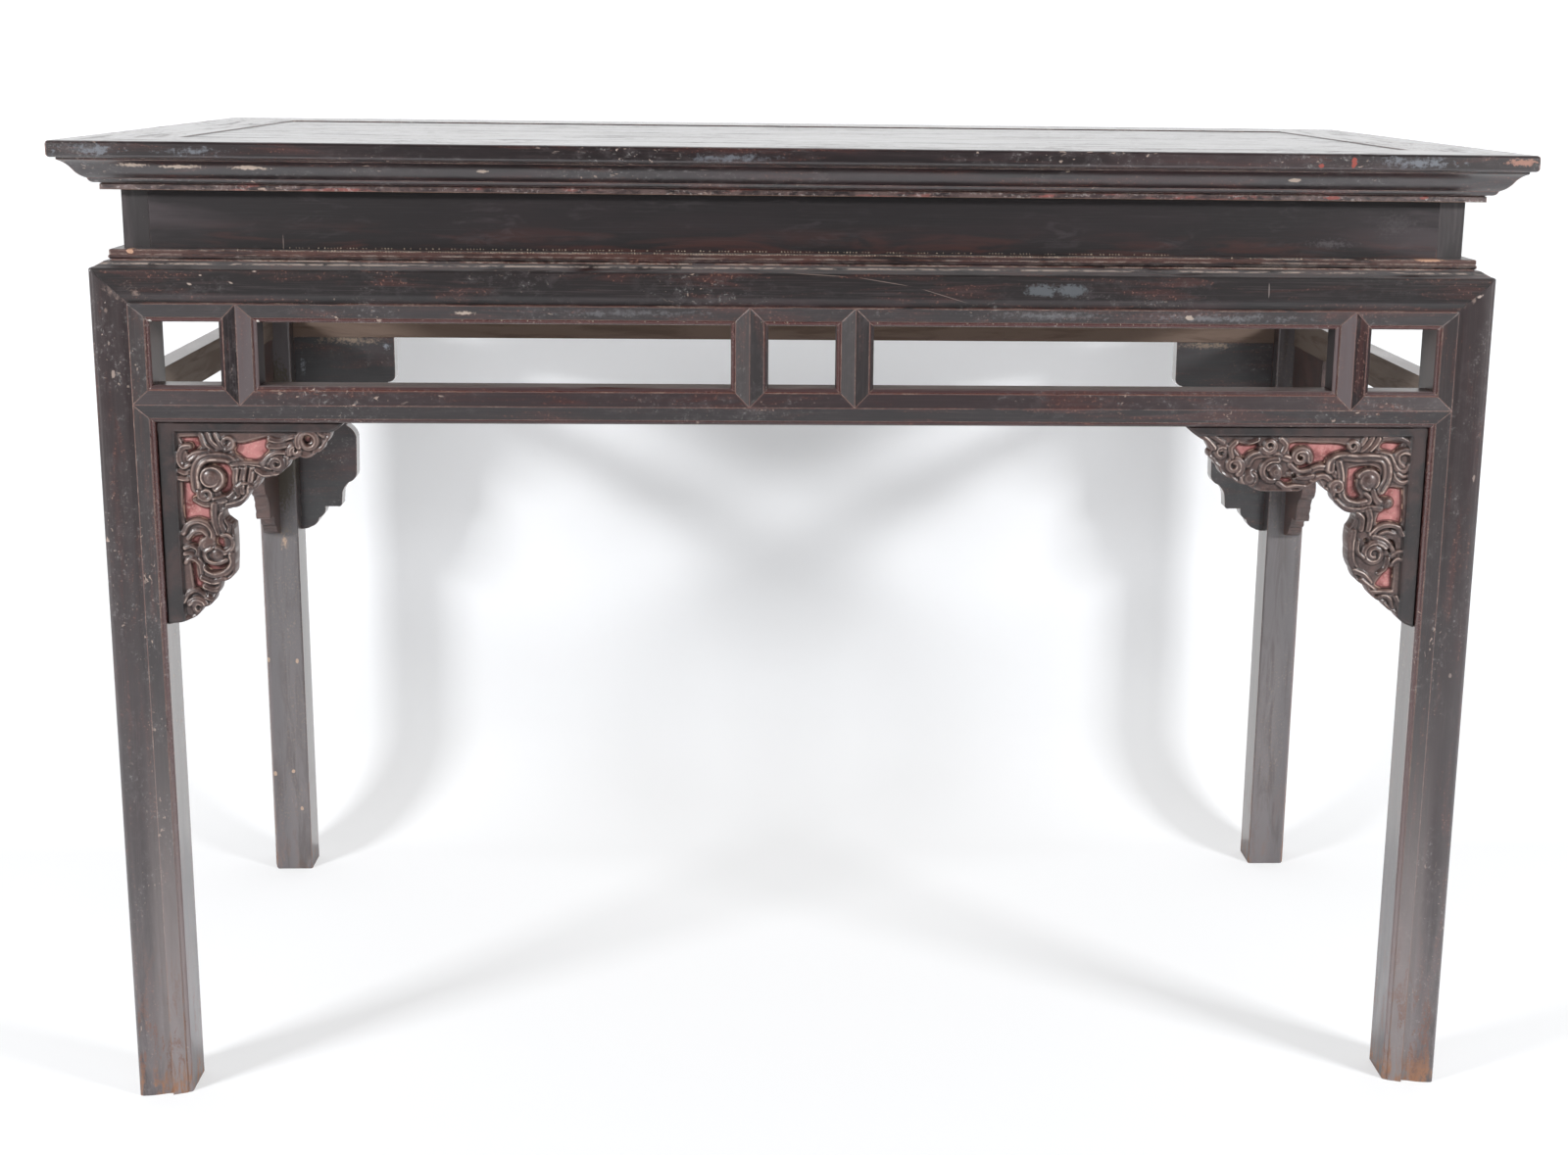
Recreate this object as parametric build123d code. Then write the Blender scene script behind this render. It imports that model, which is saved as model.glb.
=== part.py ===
from build123d import *
import os

# An altar table of mitred and moulded lacquered wood: a framed top over a plain waist, moulded
# aprons mitred into square legs, an openwork frieze of ridged rails and struts below them, and a
# cloud-shaped spandrel in each corner under the frieze.
# Millimetres. +X runs along the table, the front faces -Y, +Z is up, and the origin lies on the
# floor under the middle of the top.

# Overall sizes
table_length = 1250.0
table_depth = 607.0
table_height = 870.0
top_overhang = 21.0          # edge of the top beyond the outer faces of the legs

# Courses below the top, downwards
top_thickness = 42.0
waist_height = 50.5
sill_height = 9.5            # moulded strip between waist and apron
shoulder_rise = 4.4          # slope from the apron's face up to the sill
frieze_height = 55.0         # clear height of the openings in the frieze

# Members
leg_size = 47.0
rail_thickness = 29.0        # aprons, stretchers and struts, front to back
waist_set = 24.5             # waist behind the legs' outer faces
waist_thickness = 14.0

# Face moulding shared by legs and aprons: a swelling and hollow band, then a ridged strip
arris = 4.0                  # rounding of the outer edge
hollow_depth = 4.5
swell_share = 0.67           # share of the band that swells before it turns hollow
strip_width = 16.25          # ridge to the edge of the opening; a stretcher is two of these
ridge_set = 1.2              # ridge behind the outer face
bevel_fall = 4.0             # from the ridge down to the bead
bead_width = 4.0
bead_step = 1.0
bead_radius = 3.0

# Openwork of the front
end_opening = 58.0           # clear width beside each leg
middle_opening = 59.0

# Framed top
top_rail_width = 85.0
band_height = 14.0           # rounded edge band of the top
band_radius = 3.0
soffit_set = 6.0             # cove starts this far behind the band
soffit_drop = 2.0
cove_slope = 0.4
bead_out = -3.5              # edge bead under the cove, from the legs' outer face
bead_drop = 32.0             # below the tabletop
foot_fillet_set = 11.0       # lowest fillet of the edge, behind the legs' outer face
foot_fillet_height = 4.6
quirk = 1.5                  # small sinking between two mouldings
panel_thickness = 14.0
panel_sink = 1.0             # panel below the surface of the frame
panel_play = 0.5             # gap round the panel, so it can move in its frame
panel_tongue = 8.0
panel_tongue_thickness = 6.0
board_joint_offset = 30.0    # joint of the two boards, behind the middle
board_tongue = 6.0
batten_width = 36.0
batten_height = 22.0
batten_spacing = 320.0
dovetail_depth = 4.0
dovetail_neck = 20.0
dovetail_flare = 3.0

# Sill strip
sill_set = 14.5
sill_fillet = 4.0
sill_bead_radius = 2.2

# Joints
shoulder_depth = 14.0        # thickness of the mitred faces in front of the tenons
tenon_cover = 3.0            # wood between a mitred face and its tenon
tenon_wall = 4.0             # wood behind a tenon, and between two tenons in a leg
end_clearance = 1.0          # mortise deeper than its tenon
apron_tenon_shoulder = 8.0
stretcher_tenon_shoulder = 6.0
strut_tenon_width = 16.0
strut_tenon_length = 12.0
leg_tenon_shoulder = 5.25
leg_tenon_height = 13.0
frame_tenon_thickness = 8.0
frame_tenon_width = 34.0
frame_tenon_edge = 31.0      # frame tenon from the outer edge of the top
frame_tenon_rise = 18.0      # above the underside of the top
batten_tenon_thickness = 12.0
batten_tenon_length = 14.0
tongue_thickness = 5.0
tongue_depth = 4.0
tip_flat = 0.4               # blunt tip of a pointed end, which stops this far from the ridge

# Spandrels
spandrel_set = 10.0          # face behind the legs' outer faces
spandrel_thickness = 18.0
tongue_margin = 6.0          # tongue stops short of the corner
tongue_tail = 26.0           # and of the thin ends of the board

# Edges of the spandrels, as distance from the leg, drop below the stretcher and the bulge of the
# scallop that ends there (negative cuts inwards).
left_cloud = [
    (160, 0, 0), (148, 9, 1.5), (142, 20, 1.5), (135, 27, 2), (121, 30.5, 3), (111, 33.5, 1),
    (106, 43, 2), (96.5, 48, 1.5), (86.5, 49.5, 0.5), (76, 61, 3), (72.5, 69, 1), (62, 76, 2),
    (53.5, 78.5, 0), (54.5, 86, -0.8), (61.5, 91.5, 0), (60.5, 134, 0.8), (47, 142.5, 3),
    (42, 156.5, 2), (31, 166, 3), (20, 177, 2), (5.5, 180.5, 1), (0, 182, 0),
]
right_cloud = [
    (218, 0, 0), (198.5, 14, 1), (194, 22, 0), (191.5, 30, 3), (186, 37, 1), (173.5, 47.5, 3),
    (160, 53, 1.5), (147, 59, 1), (113.5, 59, 0), (95, 49, 0), (82.5, 61, 2), (77, 71, 1.5),
    (60, 78, 3), (65, 92.5, -1.5), (65, 112, 1), (60, 131.5, 2), (46, 146, 3), (30.5, 161, 3),
    (18, 171, 2), (5, 183, 2), (0, 185, 0),
]
plain_cloud = [
    (112, 0, 0), (112, 44, 0), (104, 51, 2), (93, 56, 1.5), (82, 68, 3), (70, 74, 1),
    (62, 86, 2.5), (55, 101, 0), (66, 115, 2), (65, 157, 0), (56, 167, 2), (48, 179, -1),
    (47, 191, 0), (42, 195.5, 2), (28, 195.5, 0), (20.5, 209, 3), (12, 219, 2), (0, 222, 1),
]

# Sizes that follow from those above
half_length = table_length / 2 - top_overhang    # outer faces of the legs
half_depth = table_depth / 2 - top_overhang
top_under = table_height - top_thickness
waist_bottom = top_under - waist_height
sill_bottom = waist_bottom - sill_height
shoulder_height = sill_bottom - shoulder_rise    # where the apron's face begins
apron_bottom = shoulder_height - leg_size
stretcher_top = apron_bottom - frieze_height
stretcher_ridge = stretcher_top - strip_width
stretcher_bottom = stretcher_ridge - strip_width
band_width = leg_size - strip_width
bevel_width = strip_width - bead_width
bead_top = ridge_set + bevel_fall + bead_step
bead_back = bead_top + bead_radius
waist_back = waist_set + waist_thickness
tenon_front = shoulder_depth + tenon_cover
tenon_back = rail_thickness - tenon_wall
tenon_end = tenon_back + tenon_wall              # how near a leg's outer face a tenon reaches
panel_top = table_height - panel_sink
panel_under = panel_top - panel_thickness
inner_edge = top_rail_width - top_overhang       # top frame's inner edge behind the legs' faces
tongue_front = waist_set + (waist_thickness - tongue_thickness) / 2
spandrel_tongue_front = spandrel_set + (spandrel_thickness - tongue_thickness) / 2
beyond = 60.0                                    # cutting solids run this far past the wood

# Each side is built as the front and turned: angle, half its length, distance of its face
sides = {
    "front": (0, half_length, half_depth),
    "right": (90, half_depth, half_length),
    "back": (180, half_length, half_depth),
    "left": (270, half_depth, half_length),
}
# The spandrels of a side, from its left end to its right end
corners = {
    "front": (("front_left", left_cloud), ("front_right", right_cloud)),
    "right": (("right_front", plain_cloud), ("right_back", plain_cloud)),
    "back": (("back_right", plain_cloud), ("back_left", plain_cloud)),
    "left": (("left_back", plain_cloud), ("left_front", plain_cloud)),
}


def block(x, y, z):
    # A box between the low and high of each axis
    size = [high - low for low, high in (x, y, z)]
    middle = [(high + low) / 2 for low, high in (x, y, z)]
    return Pos(*middle) * Box(*size)


def lines(*points):
    return [Line(start, end) for start, end in zip(points, points[1:])]


def face_of(edges):
    return Face(Wire(edges))


def quarter_round(put, start, centre, end):
    # Quarter of a circle from start to end about centre
    radius = (Vector(*start) - Vector(*centre)).length
    bisector = (Vector(*start) + Vector(*end) - Vector(*centre) * 2).normalized()
    middle = Vector(*centre) + bisector * radius
    return ThreePointArc(put(*start), put(middle.X, middle.Y), put(*end))


def band_edges(put):
    # Swelling then hollow band, from the rounded arris to the foot of the strip
    start = (arris, 0)
    turn = (arris + swell_share * (band_width - arris), swell_share * hollow_depth)
    ahead = Vector(*put(1, 0)) - Vector(*put(0, 0))
    swell = TangentArc(put(*start), put(*turn), tangent=ahead)
    hollow = TangentArc(put(*turn), put(band_width, hollow_depth), tangent=swell % 1)
    return [swell, hollow, Line(put(band_width, hollow_depth), put(band_width, ridge_set))]


def strip_edges(put, ridge):
    # Half a ridged strip: bevel, step and rounded bead, from the ridge to the opening's edge
    foot = ridge + bevel_width
    edge = ridge + strip_width
    low = ridge_set + bevel_fall
    bevel = lines(put(ridge, ridge_set), put(foot, low), put(foot, bead_top),
                  put(edge - bead_radius, bead_top))
    bead = quarter_round(put, (edge - bead_radius, bead_top), (edge - bead_radius, bead_back),
                         (edge, bead_back))
    return bevel + [bead]


def face_moulding(put):
    return band_edges(put) + strip_edges(put, band_width)


def ridged_section(put):
    # Stretcher or strut: two strips back to back on a plain back
    back = [(strip_width, bead_back), (strip_width, rail_thickness),
            (-strip_width, rail_thickness), (-strip_width, bead_back)]
    upper = strip_edges(put, 0)
    lower = strip_edges(lambda u, d: put(-u, d), 0)
    return face_of(upper + lower + lines(*[put(*point) for point in back]))


def prism(points, near, far):
    # A flat outline in X and Z, made solid between two values of Y
    outline = lines(*[(x, near, z) for x, z in points + points[:1]])
    return extrude(face_of(outline), amount=far - near, dir=(0, 1, 0))


def mitre_plan(run, stand):
    # Keeps what lies between the two mitres of a side, seen from above
    inner = min(run, stand) / 2
    outline = [(-run - beyond, -stand - beyond), (run + beyond, -stand - beyond),
               (run - inner, inner - stand), (inner - run, inner - stand)]
    plan = face_of(lines(*(outline + outline[:1])))
    return Pos(0, 0, -beyond) * extrude(plan, amount=table_height + 2 * beyond, dir=(0, 0, 1))


def mitred_member(section, run, stand):
    # A section in outset and height, run along a side and mitred at both ends
    plane = Plane(origin=(0, -stand, 0), x_dir=(0, -1, 0), z_dir=(-1, 0, 0))
    bar = extrude(plane * section, amount=run + beyond, both=True)
    return bar & mitre_plan(run, stand)


def both_ends(solid):
    return solid + mirror(solid, about=Plane.YZ)


def turned(side, solid):
    return Rot(0, 0, sides[side][0]) * solid


# Framed top -----------------------------------------------------------------

def top_rail_section():
    out = top_overhang
    band_foot = table_height - band_height
    cove_top = (out - soffit_set, band_foot - soffit_drop)
    bead_start = (bead_out, table_height - bead_drop)
    cove_turn = ((cove_top[0] + bead_start[0]) / 2, (cove_top[1] + bead_start[1]) / 2)
    fillet_top = top_under + foot_fillet_height
    bead_end = (quirk - foot_fillet_set, fillet_top + quirk)
    groove_top = panel_under + panel_tongue_thickness + panel_play / 2
    groove_foot = panel_under - panel_play / 2
    groove_back = panel_tongue + end_clearance - inner_edge

    def put(u, d):
        return (u, d)

    cove = TangentArc(cove_top, cove_turn, tangent=(-1, -cove_slope))
    ogee = TangentArc(cove_turn, bead_start, tangent=cove % 1)
    edges = [
        quarter_round(put, (out - band_radius, table_height),
                      (out - band_radius, table_height - band_radius),
                      (out, table_height - band_radius)),
        quarter_round(put, (out, band_foot + band_radius),
                      (out - band_radius, band_foot + band_radius),
                      (out - band_radius, band_foot)),
        cove, ogee,
        SagittaArc(bead_start, bead_end, quirk),
    ]
    edges += lines((-inner_edge, table_height), (out - band_radius, table_height))
    edges += lines((out, table_height - band_radius), (out, band_foot + band_radius))
    edges += lines((out - band_radius, band_foot), (out - soffit_set, band_foot), cove_top)
    edges += lines(bead_end, (-foot_fillet_set - quirk, fillet_top + quirk / 2),
                   (-foot_fillet_set, fillet_top), (-foot_fillet_set, top_under),
                   (-inner_edge, top_under), (-inner_edge, groove_foot),
                   (groove_back, groove_foot), (groove_back, groove_top),
                   (-inner_edge, groove_top), (-inner_edge, table_height))
    return face_of(edges)


def frame_tenon(run, stand, clearance):
    # Tenon of a long rail, in the mortise of an end rail
    outer = top_overhang - frame_tenon_edge
    low = top_under + frame_tenon_rise
    end = run + outer + clearance
    return both_ends(block((run - inner_edge, end), (-stand - outer, -stand - outer + frame_tenon_width),
                           (low, low + frame_tenon_thickness)))


def batten_mortises(clearance):
    reach = half_depth - inner_edge + batten_tenon_length + clearance
    middle = panel_under - batten_height / 2
    height = (middle - batten_tenon_thickness / 2, middle + batten_tenon_thickness / 2)
    width = dovetail_neck / 2
    return [block((x - width, x + width), (-reach, reach), height) for x in batten_places()]


def batten_places():
    return [-batten_spacing, 0.0, batten_spacing]


def waist_groove(run, stand):
    # Groove in the underside of the top for the tongue of a waist board
    reach = run - leg_size
    return block((-reach, reach), (-stand + tongue_front, -stand + tongue_front + tongue_thickness),
                 (top_under - 1, top_under + tongue_depth + end_clearance / 2))


def leg_tenon_room(run, stand, clearance):
    near = waist_set + leg_tenon_shoulder
    far = leg_size - leg_tenon_shoulder
    return both_ends(block((-run + near, -run + far), (-stand + near, -stand + far),
                           (top_under - 1, top_under + leg_tenon_height + clearance)))


def top_rail(side):
    angle, run, stand = sides[side]
    rail = mitred_member(top_rail_section(), run, stand)
    rail -= waist_groove(run, stand)
    rail -= leg_tenon_room(run, stand, end_clearance)
    if side in ("front", "back"):
        rail += frame_tenon(run, stand, 0)
        rail -= batten_mortises(end_clearance)
    else:
        # The long rails' tenons, seen from an end rail
        tenons = frame_tenon(half_length, half_depth, end_clearance)
        tenons += mirror(tenons, about=Plane.XZ)
        rail -= Rot(0, 0, -angle) * tenons
    return turned(side, rail)


def batten_section(x):
    half = batten_width / 2
    neck = dovetail_neck / 2
    tail = neck + dovetail_flare
    foot = panel_under - batten_height
    easing = 3.0
    return [(x - half, panel_under), (x - neck, panel_under), (x - tail, panel_under + dovetail_depth),
            (x + tail, panel_under + dovetail_depth), (x + neck, panel_under), (x + half, panel_under),
            (x + half, foot + easing), (x + half - easing, foot), (x - half + easing, foot),
            (x - half, foot + easing)]


def batten(x):
    reach = half_depth - inner_edge
    body = prism(batten_section(x), -reach, reach)
    tenon = batten_mortises(0)[batten_places().index(x)]
    return body + tenon


def panel_board(part):
    # The panel is two boards, tongued together and into the frame
    reach_x = half_length - inner_edge - panel_play
    reach_y = half_depth - inner_edge - panel_play
    middle = (panel_under + panel_top) / 2
    joint = (middle - tongue_thickness / 2, middle + tongue_thickness / 2)
    near, far = (-reach_y, board_joint_offset) if part == "front" else (board_joint_offset, reach_y)
    tongue_y = (near - panel_tongue, far) if part == "front" else (near, far + panel_tongue)
    board = block((-reach_x, reach_x), (near, far), (panel_under, panel_top))
    board += block((-reach_x - panel_tongue, reach_x + panel_tongue), tongue_y,
                   (panel_under, panel_under + panel_tongue_thickness))
    key_x = (-reach_x, reach_x)
    if part == "front":
        board += block(key_x, (far, far + board_tongue), joint)
    else:
        board -= block(key_x, (near, near + board_tongue + end_clearance), joint)
    for x in batten_places():
        board -= prism(batten_section(x), -reach_y - beyond, reach_y + beyond)
    return board


# Waist and sill -------------------------------------------------------------

def waist_board(side):
    run, stand = sides[side][1:]
    reach = run - leg_size
    front = -stand + waist_set
    tongue = (-stand + tongue_front, -stand + tongue_front + tongue_thickness)
    board = block((-reach, reach), (front, front + waist_thickness), (waist_bottom, top_under))
    board += block((-reach, reach), tongue, (waist_bottom - tongue_depth, top_under + tongue_depth))
    board += block((-reach - tongue_depth, reach + tongue_depth), tongue, (waist_bottom, top_under))
    return turned(side, board)


def sill(side):
    run, stand = sides[side][1:]
    fillet_foot = waist_bottom - sill_fillet
    bead_middle = fillet_foot - sill_bead_radius
    bead_foot = bead_middle - sill_bead_radius
    inner = -sill_set - quirk
    edges = lines((inner, bead_foot), (-sill_set, sill_bottom), (-waist_back, sill_bottom),
                  (-waist_back, waist_bottom), (-sill_set - quirk / 2, waist_bottom),
                  (-sill_set, waist_bottom - quirk / 2), (-sill_set, fillet_foot), (inner, fillet_foot))
    edges.append(ThreePointArc((inner, fillet_foot), (inner + sill_bead_radius, bead_middle),
                               (inner, bead_foot)))
    strip = mitred_member(face_of(edges), run, stand)
    strip -= both_ends(block((-run + waist_set, -run + leg_size), (-stand + waist_set, -stand + leg_size),
                             (sill_bottom - 1, waist_bottom + 1)))
    reach = run - leg_size
    strip -= block((-reach, reach), (-stand + tongue_front, -stand + tongue_front + tongue_thickness),
                   (waist_bottom - tongue_depth - end_clearance / 2, waist_bottom + 1))
    return turned(side, strip)


# Legs -----------------------------------------------------------------------
# A leg is built at its outer corner: X inwards from the side face, Y inwards from the front face.

def diagonal_points(above):
    # The leg's face meets the apron's face on a line at 45 degrees
    far = leg_size + 5
    limit = table_height if above else shoulder_height - far
    if above:
        return [(-5, shoulder_height + 5), (far, shoulder_height - far), (far, limit), (-5, limit)]
    return [(-5, shoulder_height + 5), (far, limit), (-5, limit)]


def notch_beside(ridge_x, z):
    # Room in a leg's strip for a pointed rail end: it widens at 45 degrees from the ridge
    near, far = tip_flat, strip_width + 5
    return [(ridge_x + near, z - near), (ridge_x + near, z + near), (ridge_x + far, z + far),
            (ridge_x + far, z - far)]


def notch_over(x, ridge_z, toward):
    # Room in a rail's strip for the pointed end of a strut
    near, far = tip_flat, strip_width + 5
    return [(x - near, ridge_z + toward * near), (x + near, ridge_z + toward * near),
            (x + far, ridge_z + toward * far), (x - far, ridge_z + toward * far)]


def leg_face_cuts(cloud):
    # Everything cut into one face of a leg and into the core behind it
    drop = cloud[-1][1]
    mortise = (tenon_end - end_clearance, leg_size + 1)
    tenon = (tenon_front, tenon_back)
    tongue = (spandrel_tongue_front, spandrel_tongue_front + tongue_thickness)
    groove = (leg_size - tongue_depth - end_clearance, leg_size + 1)
    return [
        prism(diagonal_points(True), -5, shoulder_depth),
        prism(notch_beside(band_width, stretcher_ridge), -5, shoulder_depth),
        block(mortise, tenon, apron_tenon_height()),
        block(mortise, tenon, stretcher_tenon_height()),
        block(groove, tongue, (stretcher_bottom - drop + tongue_tail, stretcher_bottom - tongue_margin)),
        block((leg_size - tongue_depth - end_clearance / 2, leg_size + 1),
              (tongue_front, tongue_front + tongue_thickness), (waist_bottom, top_under)),
    ]


def apron_tenon_height():
    return (apron_bottom + apron_tenon_shoulder, shoulder_height - arris - apron_tenon_shoulder)


def stretcher_tenon_height():
    return (stretcher_bottom + stretcher_tenon_shoulder, stretcher_top - stretcher_tenon_shoulder)


def leg(front_cloud, side_cloud):
    def put_front(u, d):
        return (u, d)

    def put_side(u, d):
        return (d, u)

    easing = 1.5
    edges = face_moulding(put_front) + face_moulding(put_side)
    edges.append(quarter_round(put_front, (0, arris), (arris, arris), (arris, 0)))
    edges += lines((leg_size, bead_back), (leg_size, leg_size - easing),
                   (leg_size - easing, leg_size), (bead_back, leg_size))
    post = extrude(face_of(edges), amount=sill_bottom, dir=(0, 0, 1))
    near = waist_set + leg_tenon_shoulder
    far = leg_size - leg_tenon_shoulder
    post += block((waist_set, leg_size), (waist_set, leg_size), (sill_bottom, top_under))
    post += block((near, far), (near, far), (top_under, top_under + leg_tenon_height))
    diagonal = Plane(origin=(0, 0, 0), z_dir=(1, -1, 0))
    for cut in leg_face_cuts(front_cloud):
        post -= cut
    for cut in leg_face_cuts(side_cloud):
        post -= mirror(cut, about=diagonal)
    return post


def placed_leg(name):
    clouds = {corner: cloud for pair in corners.values() for corner, cloud in pair}
    end, hand = name.split("_")
    post = Pos(-half_length, -half_depth, 0) * leg(clouds[name], clouds[hand + "_" + end])
    if hand == "right":
        post = mirror(post, about=Plane.YZ)
    if end == "back":
        post = mirror(post, about=Plane.XZ)
    return post


# Aprons, stretchers and struts ----------------------------------------------

def strut_places():
    outer = half_length - leg_size - end_opening - strip_width
    inner = middle_opening / 2 + strip_width
    return {"outer_left": -outer, "inner_left": -inner, "inner_right": inner, "outer_right": outer}


def strut_mortise(x, edge, toward, clearance):
    length = toward * (strut_tenon_length + clearance)
    low, high = sorted((edge, edge + length))
    half = strut_tenon_width / 2
    return block((x - half, x + half), (-half_depth + tenon_front, -half_depth + tenon_back), (low, high))


def apron(side):
    run, stand = sides[side][1:]

    def put(u, d):
        return (-d, shoulder_height - u)

    slope_top = arris + shoulder_rise * 1.6
    edges = face_moulding(put)
    edges.append(quarter_round(put, (0, arris), (arris, arris), (arris, 0)))
    edges += lines((-arris, shoulder_height), (-slope_top, sill_bottom), (-rail_thickness, sill_bottom),
                   (-rail_thickness, apron_bottom), (-bead_back, apron_bottom))
    bar = mitred_member(face_of(edges), run, stand)
    bar -= both_ends(Pos(-run, -stand, 0) * prism(diagonal_points(False), -5, shoulder_depth))
    bar -= both_ends(block((-run - 5, -run + leg_size), (-stand + shoulder_depth, -stand + leg_size),
                           (apron_bottom - 5, sill_bottom + 5)))
    bar += both_ends(block((-run + tenon_end, -run + leg_size + 1),
                           (-stand + tenon_front, -stand + tenon_back), apron_tenon_height()))
    if side == "front":
        for x in strut_places().values():
            bar -= prism(notch_over(x, apron_bottom + strip_width, -1),
                         -stand - 5, -stand + shoulder_depth)
            bar -= strut_mortise(x, apron_bottom, 1, end_clearance)
    return turned(side, bar)


def stretcher(side):
    run, stand = sides[side][1:]

    def put(u, d):
        return (-d, stretcher_ridge + u)

    tip = run - band_width - tip_flat
    shoulder = run - leg_size
    plane = Plane(origin=(0, -stand, 0), x_dir=(0, -1, 0), z_dir=(-1, 0, 0))
    bar = extrude(plane * ridged_section(put), amount=tip, both=True)
    above, below = stretcher_ridge + tip_flat, stretcher_ridge - tip_flat
    faces = prism([(-tip, below), (-tip, above), (-shoulder, stretcher_top), (shoulder, stretcher_top),
                   (tip, above), (tip, below), (shoulder, stretcher_bottom),
                   (-shoulder, stretcher_bottom)], -stand - 5, -stand + shoulder_depth)
    core = block((-shoulder, shoulder), (-stand + shoulder_depth, -stand + rail_thickness),
                 (stretcher_bottom, stretcher_top))
    bar = bar & (faces + core)
    bar += both_ends(block((-run + tenon_end, -shoulder + 1), (-stand + tenon_front, -stand + tenon_back),
                           stretcher_tenon_height()))
    for end, (name, cloud) in zip((-1, 1), corners[side]):
        reach = cloud[0][0]
        places = sorted((end * (shoulder - tongue_margin), end * (shoulder - reach + tongue_tail)))
        bar -= block(places, (-stand + spandrel_tongue_front,
                              -stand + spandrel_tongue_front + tongue_thickness),
                     (stretcher_bottom - 1, stretcher_bottom + tongue_depth + end_clearance))
    if side == "front":
        for x in strut_places().values():
            bar -= prism(notch_over(x, stretcher_ridge, 1), -stand - 5, -stand + shoulder_depth)
            bar -= strut_mortise(x, stretcher_top, -1, end_clearance)
    return turned(side, bar)


def strut(x):
    def put(u, d):
        return (x + u, -half_depth + d)

    low = stretcher_ridge + tip_flat
    high = apron_bottom + strip_width - tip_flat
    face = Pos(0, 0, low) * ridged_section(put)
    bar = extrude(face, amount=high - low, dir=(0, 0, 1))
    left, right = x - strip_width, x + strip_width
    faces = prism([(x - tip_flat, low), (x + tip_flat, low), (right, stretcher_top), (right, apron_bottom),
                   (x + tip_flat, high), (x - tip_flat, high), (left, apron_bottom),
                   (left, stretcher_top)], -half_depth - 5, -half_depth + shoulder_depth)
    core = block((x - strip_width, x + strip_width),
                 (-half_depth + shoulder_depth, -half_depth + rail_thickness),
                 (stretcher_top, apron_bottom))
    bar = bar & (faces + core)
    return bar + strut_mortise(x, apron_bottom, 1, 0) + strut_mortise(x, stretcher_top, -1, 0)


# Spandrels ------------------------------------------------------------------

def spandrel(side, end, cloud):
    run, stand = sides[side][1:]
    leg_face = run - leg_size
    face_y = -stand + spandrel_set

    def put(s, t):
        return (end * (leg_face - s), face_y, stretcher_bottom - t)

    edges = lines(put(cloud[-1][0], cloud[-1][1]), put(0, 0), put(cloud[0][0], 0))
    for (s0, t0, _), (s1, t1, bulge) in zip(cloud, cloud[1:]):
        if bulge:
            start, finish = Vector(s0, t0), Vector(s1, t1)
            along = (finish - start).normalized()
            middle = (start + finish) / 2 + Vector(-along.Y, along.X) * -bulge
            edges.append(ThreePointArc(put(s0, t0), put(middle.X, middle.Y), put(s1, t1)))
        else:
            edges.append(Line(put(s0, t0), put(s1, t1)))
    board = extrude(face_of(edges), amount=spandrel_thickness, dir=(0, 1, 0))
    tongue_y = (-stand + spandrel_tongue_front, -stand + spandrel_tongue_front + tongue_thickness)
    along_x = sorted((end * (leg_face - tongue_margin), end * (leg_face - cloud[0][0] + tongue_tail)))
    board += block(along_x, tongue_y, (stretcher_bottom - 1, stretcher_bottom + tongue_depth))
    into_leg = sorted((end * (leg_face - 1), end * (leg_face + tongue_depth)))
    board += block(into_leg, tongue_y,
                   (stretcher_bottom - cloud[-1][1] + tongue_tail, stretcher_bottom - tongue_margin))
    return turned(side, board)


pieces = {}
for side in sides:
    pieces["top_rail_" + side] = top_rail(side)
    pieces["waist_" + side] = waist_board(side)
    pieces["sill_" + side] = sill(side)
    pieces["apron_" + side] = apron(side)
    pieces["stretcher_" + side] = stretcher(side)
    for end, (name, cloud) in zip((-1, 1), corners[side]):
        pieces["spandrel_" + name] = spandrel(side, end, cloud)
for name in ("front_left", "front_right", "back_left", "back_right"):
    pieces["leg_" + name] = placed_leg(name)
for name, x in strut_places().items():
    pieces["strut_" + name] = strut(x)
for name, x in zip(("left", "middle", "right"), batten_places()):
    pieces["batten_" + name] = batten(x)
for part in ("front", "back"):
    pieces["panel_board_" + part] = panel_board(part)

os.makedirs("parts", exist_ok=True)
for name, solid in pieces.items():
    export_step(solid, "parts/" + name + ".step")
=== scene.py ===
import bmesh
import bpy
import math
import numpy as np
from mathutils import Matrix, Vector


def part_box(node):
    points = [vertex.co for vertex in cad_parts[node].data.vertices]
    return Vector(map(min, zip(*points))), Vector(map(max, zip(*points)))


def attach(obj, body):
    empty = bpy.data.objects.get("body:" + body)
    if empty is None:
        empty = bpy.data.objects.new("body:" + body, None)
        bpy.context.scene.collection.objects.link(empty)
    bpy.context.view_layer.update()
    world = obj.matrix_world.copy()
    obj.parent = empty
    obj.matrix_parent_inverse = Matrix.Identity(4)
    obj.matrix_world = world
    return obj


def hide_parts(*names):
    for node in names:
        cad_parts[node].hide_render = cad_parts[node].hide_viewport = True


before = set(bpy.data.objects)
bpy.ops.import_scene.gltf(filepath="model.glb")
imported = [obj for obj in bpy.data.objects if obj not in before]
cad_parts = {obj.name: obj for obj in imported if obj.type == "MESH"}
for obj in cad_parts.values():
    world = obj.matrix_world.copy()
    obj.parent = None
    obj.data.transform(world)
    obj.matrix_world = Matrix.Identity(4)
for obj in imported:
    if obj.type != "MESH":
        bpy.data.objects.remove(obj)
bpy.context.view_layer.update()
mm = 0.001

# sizes of the table that patterns are placed by, in metres
table = {
    "halfLength": 0.604,     # outer faces of the legs
    "halfDepth": 0.2825,
    "shoulder": 0.7636,      # top edge of the aprons' faces
}


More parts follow.
